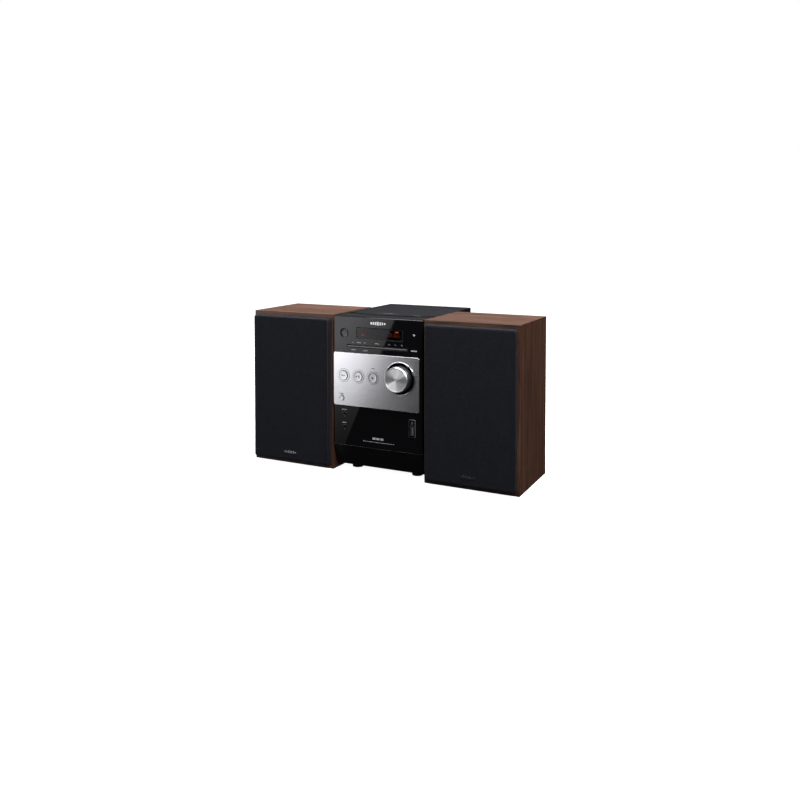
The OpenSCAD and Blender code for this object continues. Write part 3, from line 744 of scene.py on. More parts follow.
@dataclass(frozen=True)
class Veneer:
    """Walnut veneer. Its figure runs upright on the sides and from left to right on top."""

    name: str
    dark: tuple[float, float, float] = (0.022, 0.011, 0.007)
    middle: tuple[float, float, float] = (0.094, 0.042, 0.025)
    light: tuple[float, float, float] = (0.190, 0.092, 0.055)
    roughness: float = 0.42
    top: float = 240.0
    band: float = 6.5

    def material(self) -> bpy.types.Material:
        """The finished material."""
        recipe = Recipe(self.name)
        facing = recipe.add("TexCoord", {}).outputs["Normal"]
        upness = recipe.add("SeparateXYZ", {0: facing}).outputs[2]
        is_top = recipe.calc("GREATER_THAN", recipe.calc("MULTIPLY", upness, upness), 0.5)
        is_top = recipe.calc("MAXIMUM", is_top, self.front_bands(recipe, facing))
        upright = recipe.add("Mapping", {"Vector": recipe.place, "Scale": (1.0, 1.0, 0.045)}).outputs[0]
        across = recipe.add("Mapping", {"Vector": recipe.place, "Scale": (0.045, 1.0, 1.0)}).outputs[0]
        mix = recipe.add("Mix", {"Factor": is_top, 4: upright, 5: across}, data_type="VECTOR")
        place = mix.outputs[1]
        sway = recipe.noise(9.0, (1, 1, 1), 2.0, place)
        shift = self.sway(recipe, sway)
        swayed = recipe.add("VectorMath", {0: place, 1: shift}, operation="ADD").outputs[0]
        bands = recipe.noise(95.0, (1, 1, 1), 6.0, swayed)
        streaks = recipe.noise(520.0, (1, 1, 0.6), 4.0, swayed)
        pores = recipe.noise(2400.0, (1, 1, 1), 1.0, place)
        figure = recipe.ramp(recipe.blend(bands, streaks, 0.5),
                             [(0.34, self.dark), (0.5, self.middle), (0.68, self.light)])
        pore_mask = recipe.ramp(pores, [(0.30, (0.45, 0.45, 0.45)), (0.42, (1, 1, 1))])
        colour = recipe.add("Mix", {"Factor": 0.75, 6: figure, 7: pore_mask}, data_type="RGBA",
                            blend_type="MULTIPLY").outputs[2]
        recipe.bump(recipe.blend(pores, streaks, 0.5), 0.05)
        return recipe.surface({
            "Base Color": colour, "Specular IOR Level": 0.4,
            "Roughness": recipe.span(streaks, self.roughness * 0.85, self.roughness * 1.2),
        })

    def front_bands(self, recipe: Recipe, facing: bpy.types.NodeSocket) -> bpy.types.NodeSocket:
        """One where the face looks forward near the cabinet's top or bottom, and nought elsewhere."""
        height = recipe.add("SeparateXYZ", {0: recipe.place}).outputs[2]
        middle = self.top * MM / 2
        away = recipe.calc("ABSOLUTE", recipe.calc("SUBTRACT", height, middle))
        near_edge = recipe.calc("GREATER_THAN", away, middle - self.band * MM)
        ahead = recipe.calc("LESS_THAN", recipe.add("SeparateXYZ", {0: facing}).outputs[1], -0.5)
        return recipe.calc("MULTIPLY", near_edge, ahead)

    @staticmethod
    def sway(recipe: Recipe, value: bpy.types.NodeSocket) -> bpy.types.NodeSocket:
        """A small sideways shift that makes the figure wander."""
        shift = recipe.span(value, -0.012, 0.012)
        return recipe.add("CombineXYZ", {0: shift, 1: shift}).outputs[0]


@dataclass(frozen=True)
class Woven:
    """Stretched grille cloth with a fine plain weave."""

    name: str
    colour: tuple[float, float, float] = (0.0090, 0.0094, 0.0130)
    pitch: float = 0.9

    def material(self) -> bpy.types.Material:
        """The finished material."""
        recipe = Recipe(self.name)
        threads = []
        scale = 2 * math.pi / (20 * self.pitch * MM)
        for direction in ("X", "Z"):
            inputs = {"Vector": recipe.place, "Scale": scale, "Distortion": 0.4}
            threads.append(recipe.add("TexWave", inputs, bands_direction=direction).outputs["Fac"])
        weave = recipe.calc("MULTIPLY", threads[0], threads[1])
        slub = recipe.noise(160.0, (1, 1, 0.2), 3.0)
        dark = tuple(c * 0.55 for c in self.colour)
        light = tuple(c * 1.5 for c in self.colour)
        fleck = recipe.noise(700.0, (1, 1, 1), 2.0)
        mixed = recipe.blend(recipe.blend(weave, slub, 0.35), fleck, 0.55)
        recipe.bump(weave, 0.25)
        return recipe.surface({
            "Base Color": recipe.ramp(mixed, [(0.28, dark), (0.62, light)]), "Roughness": 0.92,
            "Specular IOR Level": 0.15, "Sheen Weight": 0.08, "Sheen Roughness": 0.6,
            "Sheen Tint": (0.55, 0.6, 0.8, 1.0),
        })


@dataclass(frozen=True)
class Lit:
    """A lit part of the display."""

    name: str
    colour: tuple[float, float, float] = (1.0, 0.09, 0.02)
    strength: float = 6.0

    def material(self) -> bpy.types.Material:
        """The finished material."""
        recipe = Recipe(self.name)
        dim = tuple(c * 0.85 for c in self.colour)
        glow = recipe.ramp(recipe.noise(900.0), [(0.2, dim), (0.8, self.colour)])
        return recipe.surface({
            "Base Color": (0.02, 0.005, 0.003, 1.0), "Roughness": 0.4,
            "Emission Color": glow, "Emission Strength": self.strength,
        })


@dataclass(frozen=True)
class Clear:
    """Tinted clear plastic or glass."""

    name: str
    tint: tuple[float, float, float] = (0.3, 0.26, 0.27)
    roughness: float = 0.03

    def material(self) -> bpy.types.Material:
        """The finished material."""
        recipe = Recipe(self.name)
        haze = recipe.noise(70.0)
        return recipe.surface({
            "Base Color": (*self.tint, 1.0), "Transmission Weight": 1.0, "IOR": 1.47,
            "Roughness": recipe.span(haze, self.roughness * 0.5, self.roughness * 1.5),
        })


@dataclass(frozen=True)
class CircuitBoard:
    """Green solder mask over fine copper tracks."""

    name: str

    def material(self) -> bpy.types.Material:
        """The finished material."""
        recipe = Recipe(self.name)
        cells = recipe.add("TexBrick", {"Vector": recipe.place, "Scale": 120.0}).outputs["Fac"]
        return recipe.surface({
            "Base Color": recipe.ramp(cells, [(0.2, (0.012, 0.075, 0.03)), (0.6, (0.03, 0.14, 0.06))]),
            "Roughness": 0.35,
        })


class Finishes:
    """Every finish, made once and used by name."""

    def __init__(self) -> None:
        """Makes the finishes."""
        knob = Extent.of("volume_knob").middle
        hub = (knob.x, 0.0, knob.z)
        recipes = [
            Moulded("gloss_black", (0.0045, 0.0045, 0.0055), 0.025, 60.0, 0.001, 0.5, 0.2, 0.05),
            Moulded("satin_black", (0.014, 0.014, 0.016), 0.32, 1500.0, 0.01),
            Moulded("textured_paint", (0.018, 0.018, 0.020), 0.5, 700.0, 0.05),
            Moulded("lid_black", (0.0060, 0.0062, 0.0085), 0.42, 700.0, 0.03, 0.25),
            Moulded("skirt_black", (0.0055, 0.0055, 0.0062), 0.32, 900.0, 0.01, 0.45),
            Moulded("dark_recess", (0.004, 0.004, 0.0045), 0.5, 900.0, 0.01, 0.3),
            # Painted shade: near-black with almost no shine for the inside of the knob's cup, standing in
            # for the shade in that recess.
            Moulded("cup_black_painted_shade", (0.0015, 0.0015, 0.0018), 0.7, 900.0, 0.01, 0.05),
            Moulded("soft_rubber", (0.012, 0.012, 0.012), 0.7, 800.0, 0.03, 0.3),
            Moulded("driver_paint", (0.014, 0.014, 0.015), 0.45, 900.0, 0.02),
            Moulded("cone_pulp", (0.020, 0.020, 0.022), 0.75, 420.0, 0.12, 0.3, 0.0, 0.25),
            Moulded("silk_dome", (0.016, 0.016, 0.018), 0.55, 2400.0, 0.04, 0.4),
            Moulded("white_plastic", (0.72, 0.72, 0.69), 0.4),
            Moulded("red_plastic", (0.45, 0.012, 0.012), 0.35),
            Moulded("copper_winding", (0.42, 0.17, 0.06), 0.35, 500.0, 0.2),
            Moulded("core_steel", (0.10, 0.10, 0.105), 0.5, 600.0, 0.1),
            Moulded("pale_ink", (0.55, 0.56, 0.58), 0.5, 900.0, 0.002),
            Moulded("grey_ink", (0.20, 0.20, 0.215), 0.5, 900.0, 0.002),
            Moulded("dark_ink", (0.03, 0.03, 0.032), 0.45, 900.0, 0.002),
            # Painted shade: dark grey for the sides of the button rings and caps, standing in for the shade
            # round their edges.
            Moulded("painted_shade_outline", (0.09, 0.09, 0.095), 0.5, 900.0, 0.002, 0.2),
            Moulded("mask_black", (0.010, 0.010, 0.011), 0.45, 900.0, 0.002),
            Moulded("gold_contact", (0.62, 0.42, 0.14), 0.25, 600.0, 0.01, 0.8),
            Moulded("lens_blue", (0.03, 0.06, 0.16), 0.05, 200.0, 0.001, 0.8, 1.0),
            Brushed("brushed_silver", (0.82, 0.82, 0.85), 0.21, anisotropy=0.82, streak=0.03),
            Brushed("cap_silver", (0.86, 0.86, 0.87), 0.30, anisotropy=0.5, streak=0.03),
            Brushed("key_metal", (0.20, 0.20, 0.21), 0.38, anisotropy=0.3),
            Spun("spun_face_painted_sheen", hub),
            Brushed("pale_metal", (0.97, 0.97, 0.98), 0.42, anisotropy=0.0, streak=0.02),
            Brushed("turned_side", (0.62, 0.62, 0.64), 0.30, (0.02, 1.0, 1.0), 2200.0, 0.5, "Y", 0.002,
                    hub),
            Brushed("plain_steel", (0.52, 0.52, 0.54), 0.35, (1.0, 1.0, 0.05), 1500.0, 0.2),
            Polished("bright_chrome"),
            Polished("bright_edge", (0.82, 0.82, 0.84), 0.16),
            Veneer("walnut_veneer"),
            Woven("grille_weave"),
            Lit("lit_segment", (1.0, 0.16, 0.06), 0.65),
            Lit("lit_lamp", (1.0, 0.25, 0.08), 2.2),
            Clear("smoked_acrylic"),
            CircuitBoard("circuit_board"),
        ]
        self.made = {recipe.name: recipe.material() for recipe in recipes}

    def __getitem__(self, name: str) -> bpy.types.Material:
        """The finish of this name."""
        return self.made[name]


FINISHES = Finishes()

SLOT_FINISH = {
    "gloss_black": "gloss_black", "satin_black": "satin_black", "case_black": "textured_paint",
    "brushed_silver": "brushed_silver", "spun_silver": "turned_side", "bright_chrome": "bright_chrome",
    "smoked_window": "smoked_acrylic", "display_glass": "dark_recess", "steel": "plain_steel",
    "board_green": "circuit_board", "core_steel": "core_steel", "white_plastic": "white_plastic",
    "rubber_black": "soft_rubber", "walnut": "walnut_veneer", "driver_black": "driver_paint",
    "cone_paper": "cone_pulp", "grille_plastic": "satin_black", "grille_cloth": "grille_weave",
}
NODE_SLOT = {row["node"]: row["material_slot"] for row in frame["record"]["subparts"]}
NODE_BODY = {node: body for body, nodes in frame["record"]["behaviour"]["bodies"].items() for node in nodes}


def add_piece(name: str, mesh: bpy.types.Mesh, finishes: Sequence[str], node: str, stands_for: bool = True,
              slot: str | None = None) -> bpy.types.Object:
    """Adds a finished piece to the scene.

    Args:
        name: The piece's name.
        mesh: Its mesh, in place. Its material numbers count into the finishes.
        finishes: Names of its finishes.
        node: The CAD node whose body it rides on.
        stands_for: Whether it takes that node's place.
        slot: The record's material slot, if not the node's own. Not used.

    Returns:
        The piece.
    """
    mesh = with_modifier(mesh, "WEIGHTED_NORMAL", weight=50, keep_sharp=True)
    mesh.name = name
    numbers = [face.material_index for face in mesh.polygons]
    mesh.materials.clear()
    for finish in finishes:
        mesh.materials.append(FINISHES[finish])
    mesh.polygons.foreach_set("material_index", numbers)
    piece = placed(name, mesh)
    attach(piece, NODE_BODY[node])
    slot or NODE_SLOT[node]
    if stands_for:
        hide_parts(node)
    LOG.info("%s: %d faces on %s", name, len(mesh.polygons), NODE_BODY[node])
    return piece


def add_detail(name: str, mesh: bpy.types.Mesh, finish: str, node: str, slot: str) -> None:
    """Adds a piece that no CAD node stands for, in one finish, on a node's body."""
    add_piece(name, mesh, [finish], node, stands_for=False, slot=slot)


def add_refined(node: str, bevel: float, finishes: Sequence[str] | None = None,
                pick: Callable[[bpy.types.Mesh], object] | None = None) -> bpy.types.Object:
    """Shows a CAD node as a copy with softened edges.

    Args:
        node: The CAD node.
        bevel: Radius of the rounding.
        finishes: Names of its finishes, if not its slot's.
        pick: Gives faces their material numbers.

    Returns:
        The piece.
    """
    mesh = refined(node, bevel)
    if pick is not None:
        pick(mesh)
    return add_piece(node + "_skin", mesh, finishes or [SLOT_FINISH[NODE_SLOT[node]]], node)


# ---------------------------------------------------------------- main unit: front


@dataclass
class FrontPanel:
    """The gloss front with its brushed plate, window, sockets and printed marks."""

    edge: float = 0.7
    plate_edge: float = 0.45
    mark: float = 0.05
    button_hole: float = 8.55
    power_hole: float = 6.65
    sound_hole: float = 4.25
    jack_hole: float = 3.45
    jack_reach: float = 4.5
    display_view: Point = (66.0, 10.6)

    def __post_init__(self) -> None:
        """Reads the places of the front from the frame."""
        self.panel = Extent.of("front_panel")
        self.left = self.panel.low.x
        self.face = self.panel.low.y
        self.silver = Extent.of("silver_plate")
        self.rings = Extent.of("button_rings")
        self.knob = Extent.of("knob_ring")
        self.window = Extent.of("display_window")
        self.power = Extent.of("power_button")
        self.sound = Extent.of("sound_button")
        self.usb = Extent.of("usb_port")
        self.jacks = Extent.of("front_jacks")

    def button_places(self) -> list[Point]:
        """Places of the three disc buttons."""
        nodes = ("function_button", "play_pause_button", "stop_button")
        return [(middle.x, middle.z) for middle in (Extent.of(node).middle for node in nodes)]

    def jack_places(self) -> list[Point]:
        """Places of the two jacks."""
        x = self.jacks.middle.x
        return [(x, self.jacks.low.z + self.jack_reach), (x, self.jacks.high.z - self.jack_reach)]

    def shared_holes(self) -> list[Outline]:
        """The holes that pass through both the gloss front and the brushed plate."""
        knob = self.knob
        holes = [ring_points(knob.middle.x, knob.middle.z, knob.size.x / 2 - 0.15, 96)]
        holes += [ring_points(x, z, self.button_hole) for x, z in self.button_places()]
        holes.append(ring_points(self.sound.middle.x, self.sound.middle.z, self.sound_hole))
        return holes

    def build(self) -> None:
        """Builds every piece of the front."""
        self.gloss_panel()
        self.brushed_plate()
        self.display()
        self.trim_rings()
        self.jack_sockets()
        self.usb_socket()
        self.badge_and_lens()
        self.printed_marks()

    def gloss_panel(self) -> None:
        """The gloss black front with all its openings and its side returns."""
        low, high = self.panel.low, self.panel.high
        mid = self.panel.middle
        keys = [Extent.of(n) for n in ("tune_down_key", "track_next_key")]
        slot = rounded_rectangle((keys[0].low.x + keys[1].high.x) / 2, keys[0].middle.z,
                                 keys[1].high.x - keys[0].low.x + 0.6, 3.8, 0.4)
        window = self.window
        holes = [rounded_rectangle(window.middle.x, window.middle.z, window.size.x + 0.2,
                                   window.size.z + 0.2, 1.0), slot]
        holes += self.shared_holes()
        holes.append(ring_points(self.power.middle.x, self.power.middle.z, self.power_hole))
        holes += [ring_points(x, z, self.jack_hole) for x, z in self.jack_places()]
        holes.append(rounded_rectangle(self.usb.middle.x, self.usb.middle.z, 9.4, 24.5, 0.8))
        outline = rounded_rectangle(mid.x, mid.z, self.panel.size.x, self.panel.size.z, 1.5)
        parts = [plate("panel", outline, holes, low.y, 3.0, self.edge)]
        for x in (low.x, high.x - 2.0):
            parts.append(bar((x, low.y + 1.5, low.z + 2), (x + 2.0, high.y, high.z - 16.5), 0.2))
        add_piece("gloss_front", joined("gloss_front", parts), ["gloss_black"], "front_panel")

    def brushed_plate(self) -> None:
        """The brushed plate, with a brighter rounded edge."""
        box = self.silver
        outline = rounded_rectangle(box.middle.x, box.middle.z, box.size.x, box.size.z, 3.0)
        mesh = plate("silver", outline, self.shared_holes(), box.low.y, box.size.y, self.plate_edge)
        number_sides(mesh, 1)
        add_piece("brushed_front", mesh, ["brushed_silver", "bright_edge"], "silver_plate")

    def display(self) -> None:
        """The smoked window, the dark mask behind it and the lit digits."""
        box = self.window
        pane = plate("pane", rounded_rectangle(box.middle.x, box.middle.z, box.size.x, box.size.z, 1.0), [],
                     box.low.y, 2.3, 0.1)
        number_sides(pane, 1)
        add_piece("display_pane", pane, ["smoked_acrylic", "mask_black"], "display_window")
        hole = rounded_rectangle(box.middle.x + 0.6, box.middle.z + 1.2, *self.display_view, 0.4)
        outline = rounded_rectangle(box.middle.x, box.middle.z, box.size.x - 0.4, box.size.z - 0.4, 1.0)
        mask = plate("mask", outline, [hole], box.high.y + 0.05, 0.35, 0.05)
        add_detail("display_mask", mask, "mask_black", "display_module", NODE_SLOT["display_module"])
        screen = refined("display_module", 0.2)
        add_piece("display_screen", screen, ["dark_recess"], "display_module")
        near = box.high.y + 0.25
        strokes = []
        line = box.middle.z - 2.2
        for character, x in (("1", 80.8), ("2", 96.0), ("3", 102.4), ("4", 108.4)):
            strokes += self.digit(character, self.left + x, line, near)
        strokes += [self.bar_mark(99.3, line + at, 0.5, 0.5, near) for at in (-1.4, 1.4)]
        strokes += [self.bar_mark(x, line - 0.9, 0.6, 2.2, near) for x in (53.0, 54.4)]
        lamp = [self.bar_mark(x, box.high.z - 3.7, 2.3, 1.4, near) for x in (105.6, 108.4)]
        lamp.append(self.triangle(49.4, line - 0.9, 2.6, near))
        slot = NODE_SLOT["display_module"]
        add_detail("lit_label", joined("lamp", lamp), "lit_lamp", "display_module", slot)
        add_detail("lit_digits", joined("lit", strokes), "lit_segment", "display_module", slot)

    def digit(self, character: str, x: float, z: float, near: float) -> list[bpy.types.Mesh]:
        """A digit of seven bars.

        Args:
            character: The digit.
            x: Its middle across.
            z: Its middle height.
            near: Y of its front.

        Returns:
            Its bars.
        """
        w, h, t = 1.9, 3.6, 0.38
        bars = {
            "a": (0, h, 2 * w - t, t), "g": (0, 0, 2 * w - t, t), "d": (0, -h, 2 * w - t, t),
            "f": (-w, h / 2, t, h - t), "b": (w, h / 2, t, h - t),
            "e": (-w, -h / 2, t, h - t), "c": (w, -h / 2, t, h - t),
        }
        lit = {"1": "bc", "2": "abged", "3": "abgcd", "4": "fgbc"}[character]
        marks = []
        for across, up, width, height in (bars[name] for name in lit):
            marks.append(self.bar_mark(x - self.left + across, z + up, width, height, near))
        return marks

    def bar_mark(self, x: float, z: float, width: float, height: float, near: float) -> bpy.types.Mesh:
        """A thin printed bar about a place on the front, x from the panel's left edge."""
        x += self.left
        low = (x - width / 2, near, z - height / 2)
        return bar(low, (x + width / 2, near + self.mark, z + height / 2), 0.0)

    def triangle(self, x: float, z: float, size: float, near: float) -> bpy.types.Mesh:
        """A thin triangle that points right, x from the panel's left edge."""
        x += self.left
        outline = [(x - size * 0.42, z - size / 2), (x + size * 0.42, z), (x - size * 0.42, z + size / 2)]
        return plate("triangle", outline, [], near, self.mark, 0.0)

    def trim_rings(self) -> None:
        """The bright rings round the knob and the three disc buttons."""
        box = self.knob
        outer, inner = box.size.x / 2, box.size.x / 2 - 1.3
        lip = box.low.y
        plate_face = self.silver.low.y
        profile = soften([
            (inner, box.high.y - 1.4, 0), (inner, lip, 0.5), (outer - 0.2, lip, 0.6),
            (outer, plate_face, 0.1), (outer - 0.3, plate_face, 0), (outer - 0.3, box.high.y, 0),
            (4.6, box.high.y, 0), (4.6, box.high.y - 1.4, 0),
        ])
        mesh = lathe("ring", profile, (box.middle.x, 0, box.middle.z), 128, ring=True)
        # The inside of the cup round the knob is painted near-black as painted shade.
        renumber(mesh, 1, lambda c, n: c.y > lip + 0.7
                 and from_axis(c, box.middle.x, box.middle.z) < inner + 0.05)
        add_piece("knob_surround", mesh, ["bright_edge", "cup_black_painted_shade"], "knob_ring")
        rings = []
        lip = plate_face - 0.45
        for x, z in self.button_places():
            profile = soften([
                (7.45, self.face + 3.0, 0), (7.45, lip + 0.45, 0), (7.9, lip, 0.1), (9.9, lip, 0.1),
                (10.4, lip + 0.45, 0), (8.45, plate_face, 0), (8.45, self.face + 3.0, 0),
            ])
            # The rings' sides are painted dark grey as painted shade outlines.
            rings.append(number_sides(lathe("ring", profile, (x, 0, z), 64, ring=True), 1, 0.95))
        add_piece("disc_button_rings", joined("rings", rings), ["brushed_silver", "painted_shade_outline"],
                  "button_rings")

    def jack_sockets(self) -> None:
        """The two round sockets, each with a bezel and a contact spring inside."""
        parts = []
        for x, z in self.jack_places():
            profile = soften([
                (1.8, self.face + 14, 0), (1.8, self.face - 0.2, 0.3), (2.5, self.face - 0.6, 0.25),
                (3.6, self.face - 0.5, 0.3), (3.6, self.face, 0), (3.4, self.face, 0),
                (3.4, self.face + 5.4, 0), (4.4, self.face + 5.4, 0), (4.4, self.face + 15.8, 0),
                (0, self.face + 15.8, 0), (0, self.face + 14, 0),
            ])
            spring = bar((x - 0.5, self.face + 2.5, z - 1.8), (x + 0.5, self.face + 12, z - 1.45), 0.05)
            parts += [lathe("jack", profile, (x, 0, z), 48), numbered(spring, 1)]
        add_piece("jack_sockets", joined("jacks", parts), ["satin_black", "gold_contact"], "front_jacks")

    def usb_socket(self) -> None:
        """The upright USB socket: frame, shell, tongue and contacts."""
        box = self.usb
        x, z, near = box.middle.x, box.middle.z, box.low.y
        low = z - 2.6
        mouth = rounded_rectangle(x, low, 5.4, 13.6, 0.3)
        rim = plate("frame", rounded_rectangle(x, z, box.size.x, box.size.z, 1.2), [mouth], near, 1.2, 0.4)
        renumber(rim, 4, lambda c, n: abs(n.y) < 0.97 and max(abs(c.x - x) * box.size.z / box.size.x,
                                                              abs(c.z - z)) > box.size.z / 2 - 1.5)
        shell = plate("shell", rounded_rectangle(x, low, 6.0, 14.2, 0.5), [mouth], near + 0.15, 15.0, 0.05)
        parts = [
            rim,
            plate("sleeve", rounded_rectangle(x, z, 9.3, 24.4, 0.7), [mouth], self.face, 14.0, 0.05),
            numbered(shell, 1),
            numbered(bar((x - 3, self.face + 14, low - 7.1), (x + 3, self.face + 15.6, low + 7.1), 0.1), 1),
            numbered(bar((x - 1, near + 1.6, low - 5.5), (x + 1, self.face + 14.5, low + 5.5), 0.2), 2),
            numbered(bar((x - 0.5, near - 0.05, z + 5.6), (x + 0.5, near + 0.3, z + 10.8), 0), 4),
            numbered(bar((x - 1.5, near - 0.05, z + 8.0), (x + 1.5, near + 0.3, z + 9.0), 0), 4),
        ]
        contact = bar((x + 0.95, self.face + 1.2, low - 4.5), (x + 1.15, self.face + 13, low - 3.3), 0.0)
        contacts = Repeat(4, (0.0, 0.0, 0.0), step=(0.0, 0.0, 2.6))
        parts.append(numbered(contacts.make(contact, FINISHES["gold_contact"]), 3))
        add_piece("usb_socket", joined("usb", parts),
                  ["gloss_black", "plain_steel", "grey_ink", "gold_contact", "grey_ink"], "usb_port")

    def badge_and_lens(self) -> None:
        """The emblem of upright bars, and the remote sensor's small lens."""
        emblem = bar_emblem(self.left + 76.8, 230.3, 25.6, 5.6, self.face - 0.5, 0.55)
        add_detail("plain_badge", emblem, "bright_edge", "front_panel", "bright_chrome")
        profile = soften([(0, -0.5, 0), (1.3, -0.35, 0.4), (1.75, 0.05, 0)], closed=False)
        lens = lathe("lens", profile, (self.left + 135.9, self.face, 216.1), 32)
        add_detail("sensor_lens", lens, "pale_ink", "front_panel", "white_plastic")

    def printed_marks(self) -> None:
        """Small printed bars where a set has its legends, all plain shapes."""
        on_panel = self.face - self.mark + 0.01
        on_plate = self.silver.low.y - self.mark + 0.01
        pale = [self.bar_mark(x, z, w, h, on_panel) for x, z, w, h in (
            (95, 199.8, 2.6, 0.6), (105.6, 199.8, 2.6, 0.6), (116, 199.8, 2.6, 0.6),
            (116, 199.8, 0.6, 2.6), (33.6, 199.8, 2.4, 0.6), (53.8, 199.8, 2.4, 0.6),
            (53.8, 199.8, 0.6, 2.4), (43.7, 199.8, 8.0, 1.0), (74.1, 199.8, 7.0, 1.0),
            (136, 193.0, 9.6, 1.7), (34, 188.2, 7.2, 1.1), (54.6, 188.2, 7.2, 1.1),
            (18, 95.2, 9.0, 1.0), (18, 75.2, 7.6, 1.0),
        )]
        pale += [self.bar_mark(52.0 + 3.6 * i, 50.6, 2.6 - 0.5 * (i % 3), 0.9, on_panel) for i in range(15)]
        pale += [self.bar_mark(76 + 6.6 * i, 56.0, 5.2, 3.2, on_panel) for i in (-1, 0, 1)]
        add_detail("pale_marks", joined("marks", pale), "pale_ink", "front_panel", "white_plastic")
        dark = [self.bar_mark(x, z, width, 0.9, on_plate)
                for x, z, width in ((14.3, 119.6, 7.0), (68.5, 162.2, 5.2))]
        add_detail("dark_marks", joined("marks", dark), "dark_ink", "silver_plate", "satin_black")


@dataclass(frozen=True)
class Cap:
    """A round cap: its finish, how deep its face is dished, and how far back its keeper sits."""

    node: str
    finish: str
    hollow: float
    keeper: float


CAPS = (
    Cap("power_button", "gloss_black", 0.35, 4.2),
    Cap("function_button", "brushed_silver", 0.08, 6.8),
    Cap("play_pause_button", "brushed_silver", 0.08, 6.8),
    Cap("stop_button", "brushed_silver", 0.08, 6.8),
    Cap("sound_button", "pale_metal", 0.08, 6.2),
)


@dataclass
class Controls:
    """The volume knob, the round buttons and the bar keys."""

    flange: float = 1.6
    symbol_depth: float = 0.3
    symbol_rise: float = 0.06

    def build(self) -> None:
        """Builds every control."""
        self.volume_knob()
        self.round_caps()
        self.bar_keys()

    def volume_knob(self) -> None:
        """The turned knob: dished spun face, bright chamfer and plain side."""
        box = Extent.of("volume_knob")
        radius, near, back = box.size.x / 2, box.low.y, box.low.y + 17.0
        profile = soften([
            (0, near + 0.55, 0), (radius - 2.2, near + 0.45, 0.2), (radius - 1.7, near, 0.15),
            (radius - 1.1, near, 0.15), (radius, near + 1.1, 0.2), (radius, back, 0.2),
            (radius - 2.5, back, 0), (radius - 2.5, near + 4, 0), (4.2, near + 4, 0),
            (4.2, back + 5, 0), (0, back + 5, 0),
        ], closed=False)
        mesh = lathe("knob", profile, (box.middle.x, 0, box.middle.z), 160)
        renumber(mesh, 1, lambda c, n: c.y < near + 1.3)
        renumber(mesh, 2, lambda c, n: c.y < near + 0.62
                 and from_axis(c, box.middle.x, box.middle.z) < radius - 2.3)
        # The spun face carries the sheen sectors painted into its colour as painted highlights.
        add_piece("turned_knob", mesh, ["turned_side", "cap_silver", "spun_face_painted_sheen"], "volume_knob")

    def round_caps(self) -> None:
        """The round caps, each with its keeper flange and stem, and a plain symbol."""
        for cap in CAPS:
            box = Extent.of(cap.node)
            flange = box.size.x / 2
            radius = flange - self.flange
            near, back = box.low.y, box.high.y
            keeper = near + cap.keeper
            profile = soften([
                (0, near + cap.hollow, 0), (radius * 0.75, near + cap.hollow * 0.6, 2.0),
                (radius - 0.3, near, 0.3), (radius, near + 0.3, 0.3), (radius, keeper, 0),
                (flange, keeper, 0), (flange, keeper + 1.2, 0), (2, keeper + 1.2, 0), (2, back, 0),
                (0, back, 0),
            ], closed=False)
            mesh = lathe(cap.node, profile, (box.middle.x, 0, box.middle.z), 64)
            # The silver caps' sides are painted dark grey as painted shade outlines.
            if cap.finish != "gloss_black":
                number_sides(mesh, 1, 0.95)
            add_piece(cap.node + "_cap", mesh, [cap.finish, "painted_shade_outline"], cap.node)
            self.symbol(cap.node, box, near + cap.hollow * 0.4)

    def symbol(self, node: str, box: Extent, near: float) -> None:
        """The plain symbol printed on a cap, if it has one."""
        x, z = box.middle.x, box.middle.z
        front, back = near - self.symbol_rise, near + self.symbol_depth
        ink = "dark_ink"
        if node == "play_pause_button":
            arrow = [(x - 3.4, z - 1.7), (x - 0.4, z), (x - 3.4, z + 1.7)]
            parts = [plate("arrow", arrow, [], front, self.symbol_depth, 0)]
            parts += [bar((x + at, front, z - 1.7), (x + at + 0.8, back, z + 1.7), 0) for at in (1.0, 2.6)]
        elif node == "stop_button":
            parts = [bar((x - 1.3, front, z - 1.3), (x + 1.3, back, z + 1.3), 0)]
        elif node == "function_button":
            parts = [bar((x - 3.6, front, z - 0.55), (x + 3.6, back, z + 0.55), 0)]
        elif node == "power_button":
            ink = "grey_ink"
            arc = soften([(x + across, z + up, radius) for across, up, radius in (
                (-1.9, 1.0, 0), (-1.9, -2.1, 2.0), (1.9, -2.1, 2.0), (1.9, 1.0, 0),
                (1.4, 1.0, 0), (1.4, -1.6, 1.5), (-1.4, -1.6, 1.5), (-1.4, 1.0, 0),
            )])
            parts = [plate("arc", arc, [], front, self.symbol_depth, 0),
                     bar((x - 0.25, front, z), (x + 0.25, back, z + 2.3), 0)]
        else:
            return
        add_detail(node + "_symbol", joined("symbol", parts), ink, node, "satin_black")

    def bar_keys(self) -> None:
        """The five slim bar keys, with their keepers and stems."""
        for node in ("tune_down_key", "tune_up_key", "menu_key", "track_back_key", "track_next_key"):
            box = Extent.of(node)
            x, z, near = box.middle.x, box.middle.z, box.low.y
            seat = near + 4.4
            back = box.high.y
            stem = lathe("stem", [(0, seat), (1.8, seat), (1.8, back), (0, back)], (x, 0, z), 24)
            keeper = plate("keeper", rounded_rectangle(x, z, box.size.x, 6, 0.5), [], seat, 1.2, 0.1)
            parts = [
                plate("key", rounded_rectangle(x, z, box.size.x, 1.5, 0.4), [], near, 4.9, 0.3, segments=3),
                numbered(keeper, 1),
                numbered(stem, 1),
            ]
            add_piece(node + "_bar", joined("key", parts), ["key_metal", "satin_black"], node)


# ---------------------------------------------------------------- main unit: case and disc compartment


